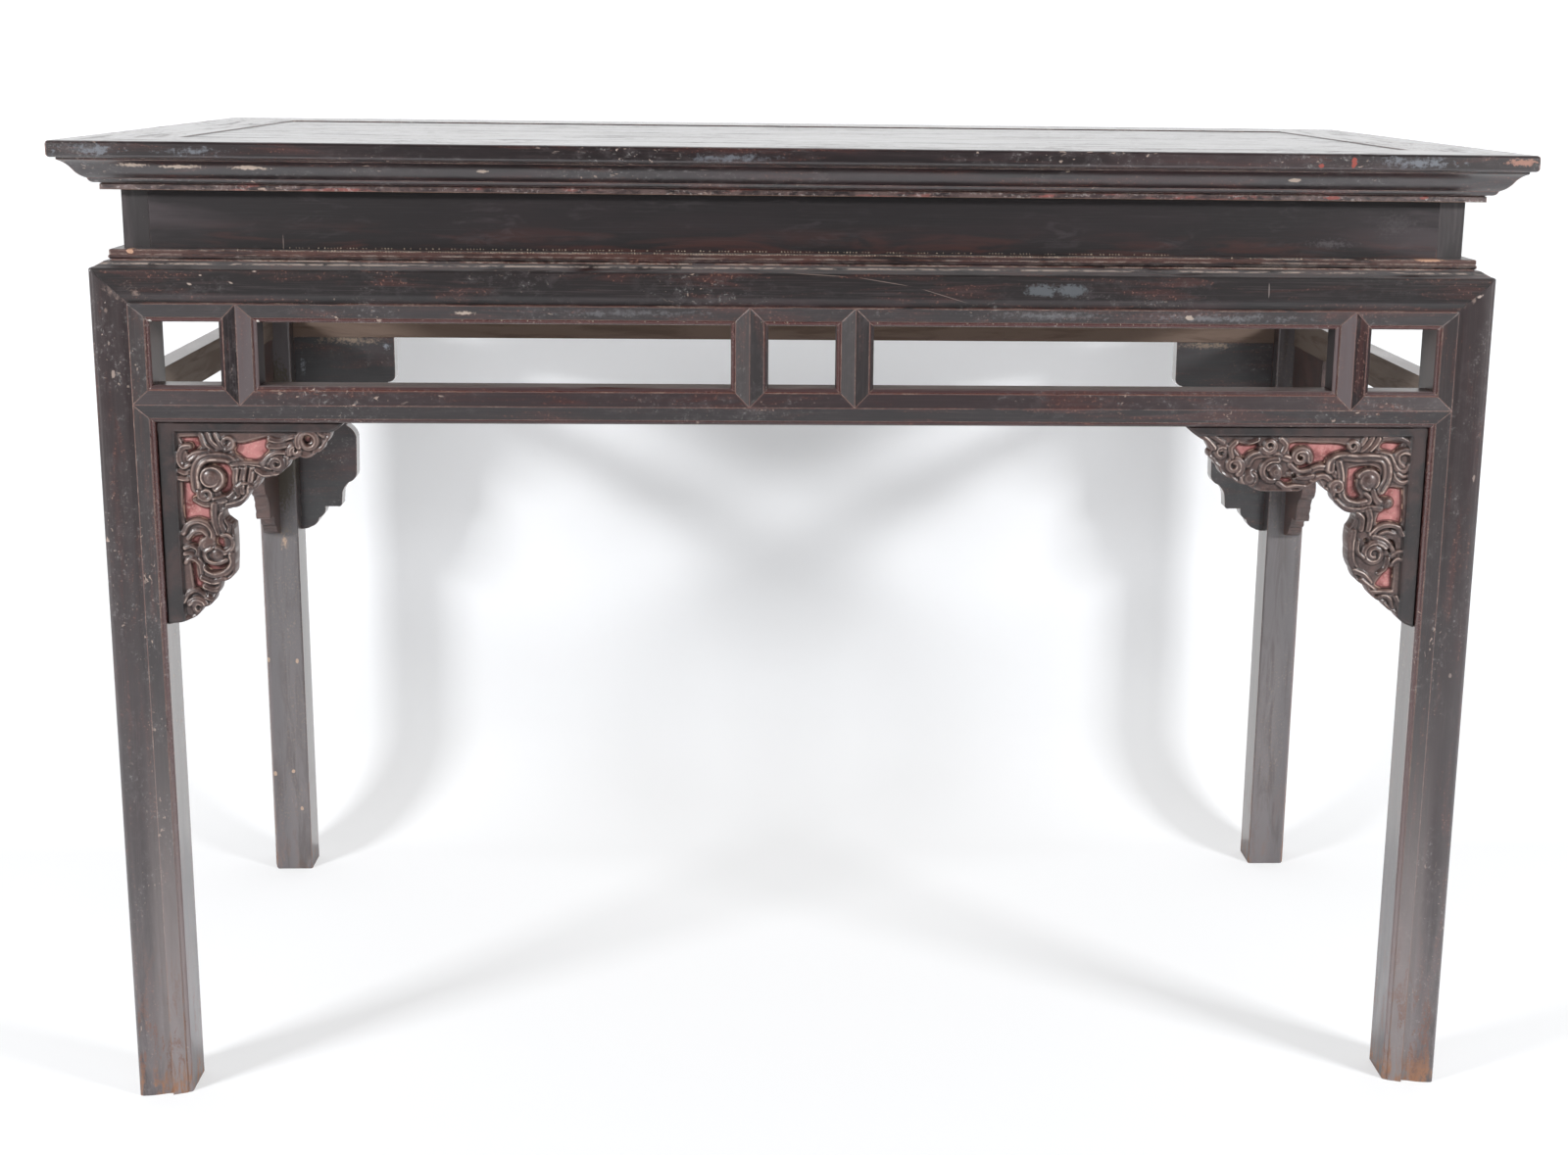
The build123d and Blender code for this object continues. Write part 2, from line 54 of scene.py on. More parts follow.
def hexColour(text):
    # sRGB hex to the linear values that nodes take
    parts = [int(text[i:i + 2], 16) / 255 for i in (1, 3, 5)]
    return tuple(p / 12.92 if p <= 0.04045 else ((p + 0.055) / 1.055) ** 2.4 for p in parts) + (1.0,)


def addNode(tree, kind, inputs=None, output=None, **settings):
    # a node with its settings; an input takes a value or another node's output. A kind without
    # Node in it is a shader node
    node = tree.nodes.new(kind if "Node" in kind else "ShaderNode" + kind)
    for name, value in settings.items():
        setattr(node, name, value)
    for key, value in (inputs or {}).items():
        if isinstance(value, bpy.types.NodeSocket):
            tree.links.new(value, node.inputs[key])
        else:
            node.inputs[key].default_value = value
    return node.outputs[output] if output else next((o for o in node.outputs if o.enabled), node)


def masked(tree, values, share, masks):
    # a share cut down by masks: each a value's name, where it starts and where it is full
    for key, start, full in zip(masks[::3], masks[1::3], masks[2::3]):
        shown = addNode(tree, "MapRange", {
            "Value": values[key], "From Min": start, "From Max": full}, interpolation_type="SMOOTHSTEP")
        share = addNode(tree, "Math", {0: shown, 1: share}, operation="MULTIPLY")
    return share


def newMaterial(name):
    material = bpy.data.materials.new(name)
    material.use_nodes = True
    material.node_tree.nodes.clear()
    return material, material.node_tree


def setMaterial(piece, material):
    for slot in piece.material_slots:
        slot.material = material
    if not piece.material_slots:
        piece.data.materials.append(material)


def newObject(name, data):
    thing = bpy.data.objects.new(name, data)
    bpy.context.scene.collection.objects.link(thing)
    return thing


cameraPlace = {
    "at": (-0.0490, -1.9683, 0.9454),
    "down": 0.20215,         # radians
    "turn": -0.04436,
    "roll": 0.00356,
    "lens": 45.28,
    "film": 36,              # millimetres, as the lens
    "shiftX": -0.03125,
    "shiftY": -0.075,
}


def makeCamera():
    lens = bpy.data.cameras.new("camera")
    lens.lens, lens.sensor_width = cameraPlace["lens"], cameraPlace["film"]
    lens.shift_x, lens.shift_y = cameraPlace["shiftX"], cameraPlace["shiftY"]
    camera = newObject("camera", lens)
    turn = Matrix.Identity(3)
    for key, axis in (("roll", "Z"), ("turn", "Y"), ("down", "X")):
        turn = turn @ Matrix.Rotation(cameraPlace[key], 3, axis)
    turn = turn @ Matrix(((1, 0, 0), (0, 0, -1), (0, 1, 0)))
    rotation = turn.transposed() @ Matrix.Diagonal((1, -1, -1))
    camera.matrix_world = Matrix.Translation(cameraPlace["at"]) @ rotation.to_4x4()
    bpy.context.scene.camera = camera


studio = {
    "wallDistance": 0.41,    # paper sweep behind the table
    "sweepRadius": 0.127,
    "sweepSteps": 12,
    "wallHeight": 4.0,
    "floorReach": 7.0,
    "wallFoot": 0.002,       # the wall is all that stands over this
    "fade": (1.5, 3.2),      # the floor fades to plain white over this distance
    # ramps on the paper: start and end in metres, and the levels there
    "glow": (0.0, 0.35, 0.52, 0.30),      # how far light washes out the floor and wall, by height
    # painted shade: the wall's middle is made darker for the camera
    "veil": (0.0, 0.42, 0.0, 0.23),       # the wall's dimmer middle between the lamps, by height
    "veilEdge": ("aside", 0.30, 0.02, "up", 0.66, 0.46),    # where it fades out again
    "unlit": (-1.7, -2.5, 0.0, 1.0),      # the lit paper's end in front
    "aim": (0, 0, 0.45),
    "lampDistance": 2.7,
    "lampSide": 36,          # degrees from the table's long axis towards the front
    "lampRise": 21,
    "lampSize": (0.47, 0.20),
    "lampPower": 56,
    "sky": (0.13, 1.0),      # its level in front and behind
    "skyTurn": (-0.1, 0.55),
    # lit screens in the sky: one low behind the table, and one low at each side in front
    "screens": ((0.25, "up", 0.45, 0.28, "back", 0.75, 0.9),
                (1.70, "aside", 0.28, 0.42, "aside", 0.70, 0.56, "back", -0.45, -0.60, "level", 0.40, 0.28)),
}


def makeStage():
    # floor and curved paper sweep in one sheet, its front towards the table
    s = studio
    reach, radius, steps = s["floorReach"], s["sweepRadius"], s["sweepSteps"]
    profile = [(-reach, 0.0)]
    for step in range(steps + 1):
        angle = math.radians(90 * step / steps)
        profile.append((s["wallDistance"] - radius + radius * math.sin(angle),
                        radius * (1 - math.cos(angle))))
    profile.append((s["wallDistance"], s["wallHeight"]))
    vertices = [(side * reach, y, z) for y, z in profile for side in (-1, 1)]
    faces = [(2 * i, 2 * i + 1, 2 * i + 3, 2 * i + 2) for i in range(len(profile) - 1)]
    mesh = bpy.data.meshes.new("paperSweep")
    mesh.from_pydata(vertices, [], faces)
    mesh.shade_smooth()
    sweep = newObject("paperSweep", mesh)

    material, tree = newMaterial("whitePaper")
    camera = addNode(tree, "LightPath", output="Is Camera Ray")
    geometry = addNode(tree, "NewGeometry", output="Position").node.outputs
    place = addNode(tree, "SeparateXYZ", {0: geometry["Position"]}, output="Z").node.outputs
    aside = addNode(tree, "Math", {0: place["X"]}, operation="ABSOLUTE")
    far = addNode(tree, "VectorMath", {0: geometry["Position"]}, output="Value", operation="LENGTH")
    ramps = {}
    for key, axis, way in (("glow", "Z", "SMOOTHSTEP"), ("veil", "Z", "LINEAR"), ("unlit", "Y", "LINEAR")):
        names = ("From Min", "From Max", "To Min", "To Max")
        ramps[key] = addNode(tree, "MapRange", {"Value": place[axis], **dict(zip(names, s[key]))},
                             interpolation_type=way)
    # the paper glows near the floor, and far from the table it is plain white for the camera
    fade = addNode(tree, "MapRange", {
        "Value": far, "From Min": s["fade"][0], "From Max": s["fade"][1], "To Min": ramps["glow"]},
        interpolation_type="SMOOTHSTEP")
    fade = addNode(tree, "Math", {0: fade, 1: camera}, operation="MULTIPLY")
    paper = addNode(tree, "BsdfDiffuse", {"Color": hexColour("#f3f5f8")})
    white = addNode(tree, "Emission", {"Color": (1, 1, 1, 1), "Strength": 1.0})
    seen = addNode(tree, "MixShader", {0: fade, 1: paper, 2: white})
    # painted shade: the wall's middle is mixed towards a black emission for the camera
    veil = masked(tree, {"aside": aside, "up": place["Z"]}, ramps["veil"], s["veilEdge"])
    dark = addNode(tree, "Emission", {"Strength": 0.0})
    seen = addNode(tree, "MixShader", {0: veil, 1: seen, 2: dark})
    # the wall shows to the camera from its front only and lets all other light through
    through = addNode(tree, "Math", {0: place["Z"], 1: s["wallFoot"]}, operation="GREATER_THAN")
    unseen = addNode(tree, "Math", {0: 1.0, 1: camera}, operation="SUBTRACT")
    for other, way in ((ramps["unlit"], "MAXIMUM"), (unseen, "MULTIPLY"),
                       (geometry["Backfacing"], "MAXIMUM")):
        through = addNode(tree, "Math", {0: through, 1: other}, operation=way)
    clear = addNode(tree, "BsdfTransparent")
    surface = addNode(tree, "MixShader", {0: through, 1: seen, 2: clear})
    addNode(tree, "OutputMaterial", {"Surface": surface})
    sweep.data.materials.append(material)


def makeLight():
    s = studio
    side, rise = math.radians(s["lampSide"]), math.radians(s["lampRise"])
    for name, hand in (("lampLeft", -1), ("lampRight", 1)):
        lamp = bpy.data.lights.new(name, "AREA")
        lamp.shape = "RECTANGLE"
        lamp.size, lamp.size_y = s["lampSize"]
        lamp.energy = s["lampPower"]
        holder = newObject(name, lamp)
        out = Vector((hand * math.cos(side) * math.cos(rise), -math.sin(side) * math.cos(rise),
                      math.sin(rise)))
        holder.location = Vector(s["aim"]) + out * s["lampDistance"]
        holder.rotation_mode = "QUATERNION"
        holder.rotation_quaternion = (-out).to_track_quat("-Z", "Y")

    world = bpy.data.worlds.new("studio")
    bpy.context.scene.world = world
    world.use_nodes = True
    tree = world.node_tree
    tree.nodes.clear()
    camera = addNode(tree, "LightPath", output="Is Camera Ray")
    direction = addNode(tree, "TexCoord", output="Generated")
    heading = addNode(tree, "SeparateXYZ", {0: direction}, output="Y").node.outputs
    either = addNode(tree, "VectorMath", {0: direction}, operation="ABSOLUTE")
    apart = addNode(tree, "SeparateXYZ", {0: either}, output="X").node.outputs
    values = {"aside": apart["X"], "back": heading["Y"], "up": heading["Z"], "level": apart["Z"]}
    level = addNode(tree, "MapRange", {
        "Value": heading["Y"], "From Min": s["skyTurn"][0], "From Max": s["skyTurn"][1],
        "To Min": s["sky"][0], "To Max": s["sky"][1]}, interpolation_type="SMOOTHSTEP")
    for share, *masks in s["screens"]:
        screen = masked(tree, values, share, masks)
        level = addNode(tree, "Math", {0: level, 1: screen}, operation="ADD")
    strength = addNode(tree, "Mix", {0: camera, 2: level, 3: 1.0}, data_type="FLOAT")
    sky = addNode(tree, "Background", {"Color": (1, 1, 1, 1), "Strength": strength})
    addNode(tree, "OutputWorld", {"Surface": sky})


# Each finish is a dictionary. patterns: length along the grain and width across it in millimetres,
# detail, roughness and twist of a noise. waves: what a pattern lifts the surface by, in millimetres.
# layers: colour, share, roughness, lift in millimetres, then the masks it needs, each a value with
# where it starts and where it is full. The values are the patterns and flat (1 away from edges), up
# and right (the face's normal along z and x), side (right either way), x, y, z (millimetres, either
# way from the middle), mitre (millimetres from the corner mitres) and the mesh's own attributes
lacquerPatterns = {
    "mottle": (160, 26, 4, 0.55, 0.4),
    "thin": (90, 11, 5, 0.6, 0.6),
    "grain": (60, 0.9, 3, 0.6, 0.0),
    "wave": (45, 14, 2, 0.5, 0.0),
    "wear": (34, 8, 4, 0.65, 0.8),
    "scuff": (11, 7, 5, 0.68, 0.4),
    "flake": (7, 4.2, 2, 0.55, 0.6),
    "cluster": (120, 50, 3, 0.6, 0.0),
    "speck": (2.4, 2.0, 1, 0.5, 0.0),
    "fray": (3.2, 2.6, 3, 0.65, 0.2),
}

# Black lacquer over a red brown ground on softwood, brushed, polished and long in use: near black
# where it is thick, red brown where it has thinned, pale where edges are rubbed to the ground
blackLacquer = {
    "base": "#170f11",
    "roughness": 0.30,
    "coat": 0.8,
    "coatRoughness": 0.24,
    "edgeRadius": 1.3,
    "patterns": lacquerPatterns,
    "waves": {"wave": 0.22, "grain": 0.02},
    "layers": [
        ("#281a1c", 1.0, 0.36, 0, "mottle", 0.42, 0.66),
        ("#452420", 0.55, None, 0, "thin", 0.50, 0.72),
        ("#4a3d3d", 0.28, 0.42, 0, "grain", 0.50, 0.74),
        ("#554d4f", 0.26, 0.44, 0, "scuff", 0.46, 0.70, "cluster", 0.36, 0.62),
        ("#8b8a8b", 0.35, 0.58, 0, "up", 0.55, 0.95, "thin", 0.30, 0.55),
        ("#6b443a", 0.90, 0.42, 0, "flat", 0.992, 0.95, "wear", 0.34, 0.50, "mitre", 1, 3),
        ("#a08a7d", 0.85, 0.60, 0, "flat", 0.985, 0.93, "wear", 0.50, 0.60, "fray", 0.40, 0.56,
         "mitre", 1, 3),
        ("#83817f", 0.50, 0.58, 0, "fray", 0.55, 0.68, "scuff", 0.46, 0.60, "cluster", 0.46, 0.62),
        ("#7d5245", 0.40, 0.50, 0, "speck", 0.60, 0.72, "thin", 0.50, 0.62),
        ("#9c8a7f", 0.85, 0.75, -0.15, "flake", 0.66, 0.70, "cluster", 0.54, 0.62),
        ("#8f7f76", 0.70, 0.70, -0.05, "speck", 0.74, 0.79, "cluster", 0.44, 0.58),
    ],
}

# The same lacquer on the waist, never polished like the rest, so almost black and dull
waistLacquer = dict(
    blackLacquer, base="#140f11", roughness=0.60, coat=0.18,
    waves={"wave": 0.16, "grain": 0.01},
    layers=[
        ("#1c1618", 1.0, 0.62, 0, "mottle", 0.42, 0.62),
        ("#3d1f1b", 0.65, None, 0, "thin", 0.44, 0.64, "z", 806, 780),
        ("#333031", 0.22, 0.56, 0, "grain", 0.52, 0.74),
        ("#4a4245", 0.40, 0.58, 0, "x", 440, 570, "mottle", 0.40, 0.62),
        ("#4c4548", 0.18, 0.56, 0, "wear", 0.50, 0.70, "cluster", 0.44, 0.62),
        ("#5f3a31", 0.75, 0.42, 0, "flat", 0.985, 0.93, "wear", 0.42, 0.56, "z", 790, 781),
    ])

# Legs: the lacquer is thinner and dustier towards the floor, and bare on the ground
legLacquer = dict(
    blackLacquer, base="#2a2122", roughness=0.38, coat=0.9,
    layers=blackLacquer["layers"] + [
        ("#2f2422", 0.85, 0.68, 0, "x", 557.5, 557.1, "z", 652, 662),
        ("#8f8482", 0.55, 0.48, 0, "x", 588, 575, "x", 557, 558, "z", 430, 40),
        ("#140f11", 0.85, 0.60, 0, "z", 777, 778),
        ("#3a3335", 0.60, 0.55, 0, "z", 777, 778, "thin", 0.42, 0.64),
        ("#837c7d", 0.42, 0.50, 0, "z", 300, 0, "thin", 0.25, 0.60),
        ("#6e4d40", 0.70, 0.62, 0, "z", 190, 20, "wear", 0.50, 0.62, "fray", 0.36, 0.52),
        ("#94705a", 0.75, 0.70, 0, "flat", 0.99, 0.94, "z", 150, 60, "wear", 0.40, 0.52),
        ("#8f6a52", 0.85, 0.72, -0.1, "z", 40, 4, "wear", 0.42, 0.60, "scuff", 0.36, 0.54),
    ])

# The tabletop: lacquer wiped and scoured along the boards until it has clouded in streaks, dull
# where the gloss is gone. The pale bluish grey streaks are partly that clouding and partly painted
# sheen, the grazing reflection of the bright paper behind
topLacquer = dict(
    blackLacquer, base="#3a3a3d", roughness=0.36, coat=0.8,
    patterns=dict(lacquerPatterns, streak=(210, 24, 6, 0.62, 0.9), craze=(18, 9, 6, 0.75, 1.0)),
    waves={"wave": 0.10, "grain": 0.02, "streak": 0.08, "craze": 0.10},
    layers=[
        # partly painted sheen: pale bluish grey streaks and scuffs
        ("#77797e", 0.80, 0.42, 0, "streak", 0.36, 0.60),
        ("#9a9da2", 0.55, 0.40, 0, "scuff", 0.46, 0.64, "thin", 0.40, 0.60),
        ("#2c2a2d", 0.60, 0.74, 0, "thin", 0.50, 0.64, "streak", 0.56, 0.46),
        ("#3a3032", 0.75, 0.74, -0.05, "craze", 0.52, 0.64, "cluster", 0.44, 0.58),
        ("#4b302a", 0.60, 0.60, 0, "craze", 0.62, 0.70),
    ])

# Ridged strips are thinly coated and handled, so browner; the beads on their edges stayed red
strips = {                    # where the strips and beads lie: value, from, to, and beside what
    "leg": [("x", 557, 573.2, "y", 262), ("y", 235.5, 251.7, "x", 583)],
    "apron": [("z", 716, 732.8, "z", 0)],
    "stretcher": [("z", 629, 662, "z", 0)],
    "strut": [("z", 640, 740, "z", 0)],
}
beads = {
    "leg": [("x", 557, 561.2, "y", 272), ("y", 235.5, 239.7, "x", 594)],
    "apron": [("z", 716.6, 720.8, "z", 0)],
    "stretcher": [("z", 629.1, 633.3, "z", 0), ("z", 657.4, 661.6, "z", 0)],
    "strut": [("x", 466.5, 470.7, "z", 0), ("x", 494.8, 499.0, "z", 0),
              ("x", 29.5, 33.7, "z", 0), ("x", 57.8, 62.0, "z", 0)],
}
ridged = (                    # where they are, colour, share, roughness and more masks
    (strips, "#1f1718", 0.75, 0.33), (beads, "#46201e", 0.80, 0.22),
    (strips, "#9c8f8a", 0.70, 0.40, "flat", 0.994, 0.965, "wear", 0.30, 0.48),
)
ridgeEdge = {                 # where a mask starts and is full, in millimetres from a ridge's limits
    "start": (-0.4, 0.1), "end": (0.3, -0.2), "beside": (-0.5, 0.5),
}

# What all finishes share
recipe = {
    "patternSteps": (3.1, 7.7, 1.3),      # from one pattern's place in the noise to the next one's
    "index": 1.52,
    "gloss": (0.76, 0.44),   # roughness where the gloss is gone, and where it is whole
    "shine": (0.1, 0.4),     # specular level of dull places, and what gloss adds
}
markEdge = {                  # the edge of a mark, in shares of its half sizes
    "at": (0.85, 0.8, 0.9),  # plain, and what a frayed and a patchy edge add
    "soft": (0.15, 0.6),     # plain, and what a patchy edge adds
    "fray": 1.6,
    "patch": 1.8,
    "deep": 400,             # millimetres a mark goes into the wood
    "roughness": 0.6,
}


def finishValues(tree, look, along, place, rounded):
    # all values that masks are made from
    geometry = addNode(tree, "NewGeometry", output="Normal").node.outputs
    slope = addNode(tree, "SeparateXYZ", {0: geometry["Normal"]}, output="Z").node.outputs
    scaled = addNode(tree, "VectorMath", {0: place, "Scale": 1 / mm}, operation="SCALE")
    either = addNode(tree, "VectorMath", {0: scaled}, operation="ABSOLUTE")
    apart = addNode(tree, "SeparateXYZ", {0: either}, output="X").node.outputs
    values = {
        "flat": addNode(tree, "VectorMath", {0: rounded, 1: geometry["True Normal"]},
                        output="Value", operation="DOT_PRODUCT"),
        "up": slope["Z"], "right": slope["X"],
        "side": addNode(tree, "Math", {0: slope["X"]}, operation="ABSOLUTE"),
        "x": apart["X"], "y": apart["Y"], "z": apart["Z"],
    }
    mitres = []
    for key, outer in (("x", table["halfLength"]), ("y", table["halfDepth"])):
        drop = addNode(tree, "Math", {0: values["z"], 1: values[key]}, operation="SUBTRACT")
        off = addNode(tree, "Math", {0: drop, 1: (outer - table["shoulder"]) / mm}, operation="ADD")
        mitres.append(addNode(tree, "Math", {0: off}, operation="ABSOLUTE"))
    values["mitre"] = addNode(tree, "Math", {0: mitres[0], 1: mitres[1]}, operation="MINIMUM")
    for key in look.get("attributes", ()):
        values[key] = addNode(tree, "Attribute", output="Fac", attribute_name=key)
    for i, (key, (length, width, detail, rough, twist)) in enumerate(look["patterns"].items()):
        spread = addNode(tree, "Mapping", {
            "Vector": place, "Location": [i * step for step in recipe["patternSteps"]],
            "Scale": [1 / ((length if axis == along else width) * mm) for axis in "XYZ"]})
        values[key] = addNode(tree, "TexNoise", {
            "Vector": spread, "Scale": 1.0, "Detail": detail, "Roughness": rough, "Distortion": twist},
            output="Fac")
    return values


def markCovers(tree, place, values, marks):
    # where each mark's spots lie, as layers over the finish
    covers = []
    for tint, share, frayed, patchy, y, spots in marks:
        edge, fray, patch = markEdge["at"]
        edge += fray * frayed + patch * patchy
        soft = markEdge["soft"][0] + markEdge["soft"][1] * patchy
        for x, z, halfX, halfZ, *turn in spots:
            reach = addNode(tree, "Mapping", {
                "Vector": place, "Location": (x * mm, y * mm, z * mm),
                "Rotation": (0, math.radians(sum(turn)), 0),
                "Scale": (halfX * mm, markEdge["deep"] * mm, halfZ * mm)}, vector_type="TEXTURE")
            reach = addNode(tree, "VectorMath", {0: reach}, output="Value", operation="LENGTH")
            for key, weight in (("fray", markEdge["fray"] * frayed), ("scuff", markEdge["patch"] * patchy)):
                reach = addNode(tree, "Math", {0: values[key], 1: weight, 2: reach},
                                operation="MULTIPLY_ADD")
            cover = addNode(tree, "MapRange", {
                "Value": reach, "From Min": edge, "From Max": edge - soft, "To Max": share},
                interpolation_type="SMOOTHSTEP")
            covers.append((tint, cover, markEdge["roughness"], 0))
    return covers


def makeFinish(name, look, along="X", marks=()):
    # a finish from its dictionary, its grain along an axis, with marks of this table's own
    material, tree = newMaterial(name)
    place = addNode(tree, "TexCoord", output="Object")
    rounded = addNode(tree, "Bevel", {"Radius": look["edgeRadius"] * mm}, samples=4)
    values = finishValues(tree, look, along, place, rounded)
    covers = [(tint, masked(tree, values, share, masks), satin, lift)
              for tint, share, satin, lift, *masks in look["layers"]]
    covers += markCovers(tree, place, values, marks)
    colour, rough, height = hexColour(look["base"]), look["roughness"], 0.0
    for tint, cover, satin, lift in covers:
        colour = addNode(tree, "Mix", {0: cover, 6: colour, 7: hexColour(tint)}, data_type="RGBA")
        if satin is not None:
            rough = addNode(tree, "Mix", {0: cover, 2: rough, 3: satin}, data_type="FLOAT")
    lifts = [(cover, lift) for tint, cover, satin, lift in covers if lift]
    lifts += [(values[key], lift) for key, lift in look["waves"].items()]
    for value, lift in lifts:
        height = addNode(tree, "Math", {0: value, 1: lift, 2: height}, operation="MULTIPLY_ADD")
    bumped = addNode(tree, "Bump", {
        "Height": height, "Strength": 1.0, "Distance": mm, "Normal": rounded})
    # rough places have lost their gloss
    dull, whole = recipe["gloss"]
    gloss = addNode(tree, "MapRange", {"Value": rough, "From Min": dull, "From Max": whole})
    coat = addNode(tree, "Math", {0: gloss, 1: look["coat"]}, operation="MULTIPLY")
    shine = addNode(tree, "Math", {0: gloss, 1: recipe["shine"][1], 2: recipe["shine"][0]},
                    operation="MULTIPLY_ADD")
    shader = addNode(tree, "BsdfPrincipled", {
        "Base Color": colour, "Roughness": rough, "IOR": recipe["index"], "Normal": bumped,
        "Specular IOR Level": shine, "Coat Weight": coat, "Coat Roughness": look["coatRoughness"],
        "Coat Normal": bumped})
    addNode(tree, "OutputMaterial", {"Surface": shader})
    return material


# Marks of this table, in millimetres: colour, share, how frayed and how patchy its edge is, y, and
# its spots: x, z, half sizes along x and z and, where it is turned, degrees
marksOn = {
    "top_rail_front": [
        ("#a79689", 0.95, 1.2, 0.5, -291, [(-559, 849.6, 16, 2), (-519, 848.6, 22, 2.2),
                                           (-463, 848.3, 22, 2.2)]),
        ("#9c8c80", 0.9, 0.6, 0, -291, [(419, 846.4, 7, 2)]),
        ("#9c8c80", 0.9, 0.8, 0, -291, [(-270, 847.2, 6, 1.5)]),
        ("#8a3a30", 0.85, 0.9, 0, -303, [(465, 862.7, 3, 5)]),
        ("#8a3a30", 0.75, 0.8, 0, -303, [(437, 859.5, 3, 2.4)]),
        ("#93695a", 0.8, 1.2, 0.5, -303, [(610, 864, 17, 4.4)]),
        ("#7a3a33", 0.8, 0.9, 0, -272, [(458, 830.7, 9, 2), (538, 831.6, 5, 2)]),
        ("#6f747c", 0.6, 1.6, 1.2, -303, [(-590, 863, 30, 6)]),
        ("#6f747c", 0.55, 1.6, 1.2, -303, [(-505, 862, 28, 5)]),
        ("#6f747c", 0.6, 1.6, 1.2, -303, [(520, 863, 46, 6)]),
        ("#6f747c", 0.5, 1.6, 1.2, -303, [(-60, 861, 40, 4.5)]),
    ],
    "waist_front": [
        ("#6f625e", 0.75, 0.4, 0.2, -258, [(-445, 783, 0.5, 9.5)]),
        ("#645f61", 0.24, 1.6, 1.2, -258, [(464, 790, 27, 5)]),
        ("#645f61", 0.13, 1.6, 1.2, -258, [(520, 806, 30, 12)]),
    ],
    "sill_front": [
        ("#b08a73", 0.9, 0.8, 0, -268, [(-572, 776, 4, 3)]),
        ("#b08a73", 0.85, 1.2, 0.5, -268, [(547, 777.5, 16, 2.4)]),
    ],
    "apron_front": [
        ("#806e66", 0.6, 2.4, 1.6, -283, [(-566, 742, 12, 4, 45)]),
        ("#93847b", 0.85, 0.9, 0.3, -283, [(-520, 749.8, 3, 1.2, 20), (-485, 751, 2.3, 1, 20),
                                           (-510, 757.3, 1.6, 1), (-465, 761, 2.6, 0.8)]),
        ("#a39488", 0.9, 1.2, 0.5, -283, [(-290, 726.5, 11, 2)]),
        ("#a39488", 0.9, 0.9, 0, -283, [(336, 726.4, 5, 2.5)]),
        ("#55595d", 0.7, 0.8, 0.5, -283, [(206, 749.8, 19, 8), (232, 749.8, 20, 8)]),
        ("#77777a", 0.5, 1.6, 1.6, -283, [(360, 726, 90, 5.5)]),
        ("#77777a", 0.45, 1.6, 1.6, -283, [(215, 727, 60, 5)]),
        ("#77777a", 0.35, 1.6, 1.6, -283, [(-150, 727, 80, 4)]),
        # painted highlights: near-white spots where the apron's bead meets the leg and the strut
        ("#d2cac3", 0.9, 0.6, 0.2, -280, [(-556.5, 717.6, 2, 1.4), (-465.5, 717.6, 1.8, 1.6)]),
        ("#75655f", 0.65, 0.3, 0.2, -283, [(13, 761.6, 30, 0.5, 3), (70, 756, 30, 0.5, 9),
                                           (122, 744, 28, 0.5, 17)]),
        ("#8a7f7b", 0.7, 0.1, 0, -283, [(404, 750.8, 0.5, 8.5, -4)]),
    ],
    "leg_front_left": [
        ("#806e66", 0.6, 2.4, 1.6, -283, [(-584, 741, 10, 4, 45)]),
        ("#8f8078", 0.85, 0.9, 0.3, -283, [(-588, 672.3, 2.2, 4)]),
        ("#8f8078", 0.6, 0.9, 0.3, -283, [(-590, 699, 1.3, 2.4)]),
        ("#7d6c64", 0.6, 1.2, 0.6, -283, [(-591, 727, 1.6, 4)]),
    ],
    "leg_front_right": [
        ("#806e66", 0.65, 2, 1.2, -283, [(584, 743, 9, 2.6, -45)]),
        ("#a3948b", 0.85, 1, 0.4, -283, [(590, 747, 4, 1.6, -30)]),
        ("#8f8078", 0.75, 1, 0.4, -283, [(597, 585, 1.4, 5)]),
        ("#8f8078", 0.6, 1, 0.4, -283, [(590, 402, 1.6, 3)]),
    ],
    "leg_back_left": [
        ("#4b4438", 0.8, 0.6, 0, 236, [(-580, 520, 40, 108)]),
        ("#6f5f4a", 0.6, 1.6, 1.2, 236, [(-588, 520, 5, 100)]),
        ("#7d6b57", 0.75, 1.6, 1.6, 236, [(-581, 415, 22, 12, 30)]),
        ("#a98f78", 0.9, 1.4, 1.4, 236, [(-573, 396, 6, 10)]),
        ("#a88f7c", 0.9, 0.6, 0, 236, [(-597, 256, 2.6, 4), (-564, 255, 2.6, 3.4), (-595, 118, 2.6, 3.6),
                                       (-574, 121, 2.4, 3), (-566, 75, 2.4, 3.2)]),
    ],
    "spandrel_back_left": [
        ("#8f7b68", 0.6, 1.6, 1.2, 260, [(-495, 626, 48, 7)]),
        ("#8d949c", 0.6, 1.6, 1.2, 260, [(-548, 594, 4, 14), (-454, 619, 7, 5)]),
    ],
    "spandrel_back_right": [
        ("#8f7b68", 0.55, 1.6, 1.2, 260, [(480, 626, 40, 6)]),
        ("#b8b8b6", 0.9, 1.2, 0.5, 260, [(494, 632, 15, 1.6)]),
    ],
}

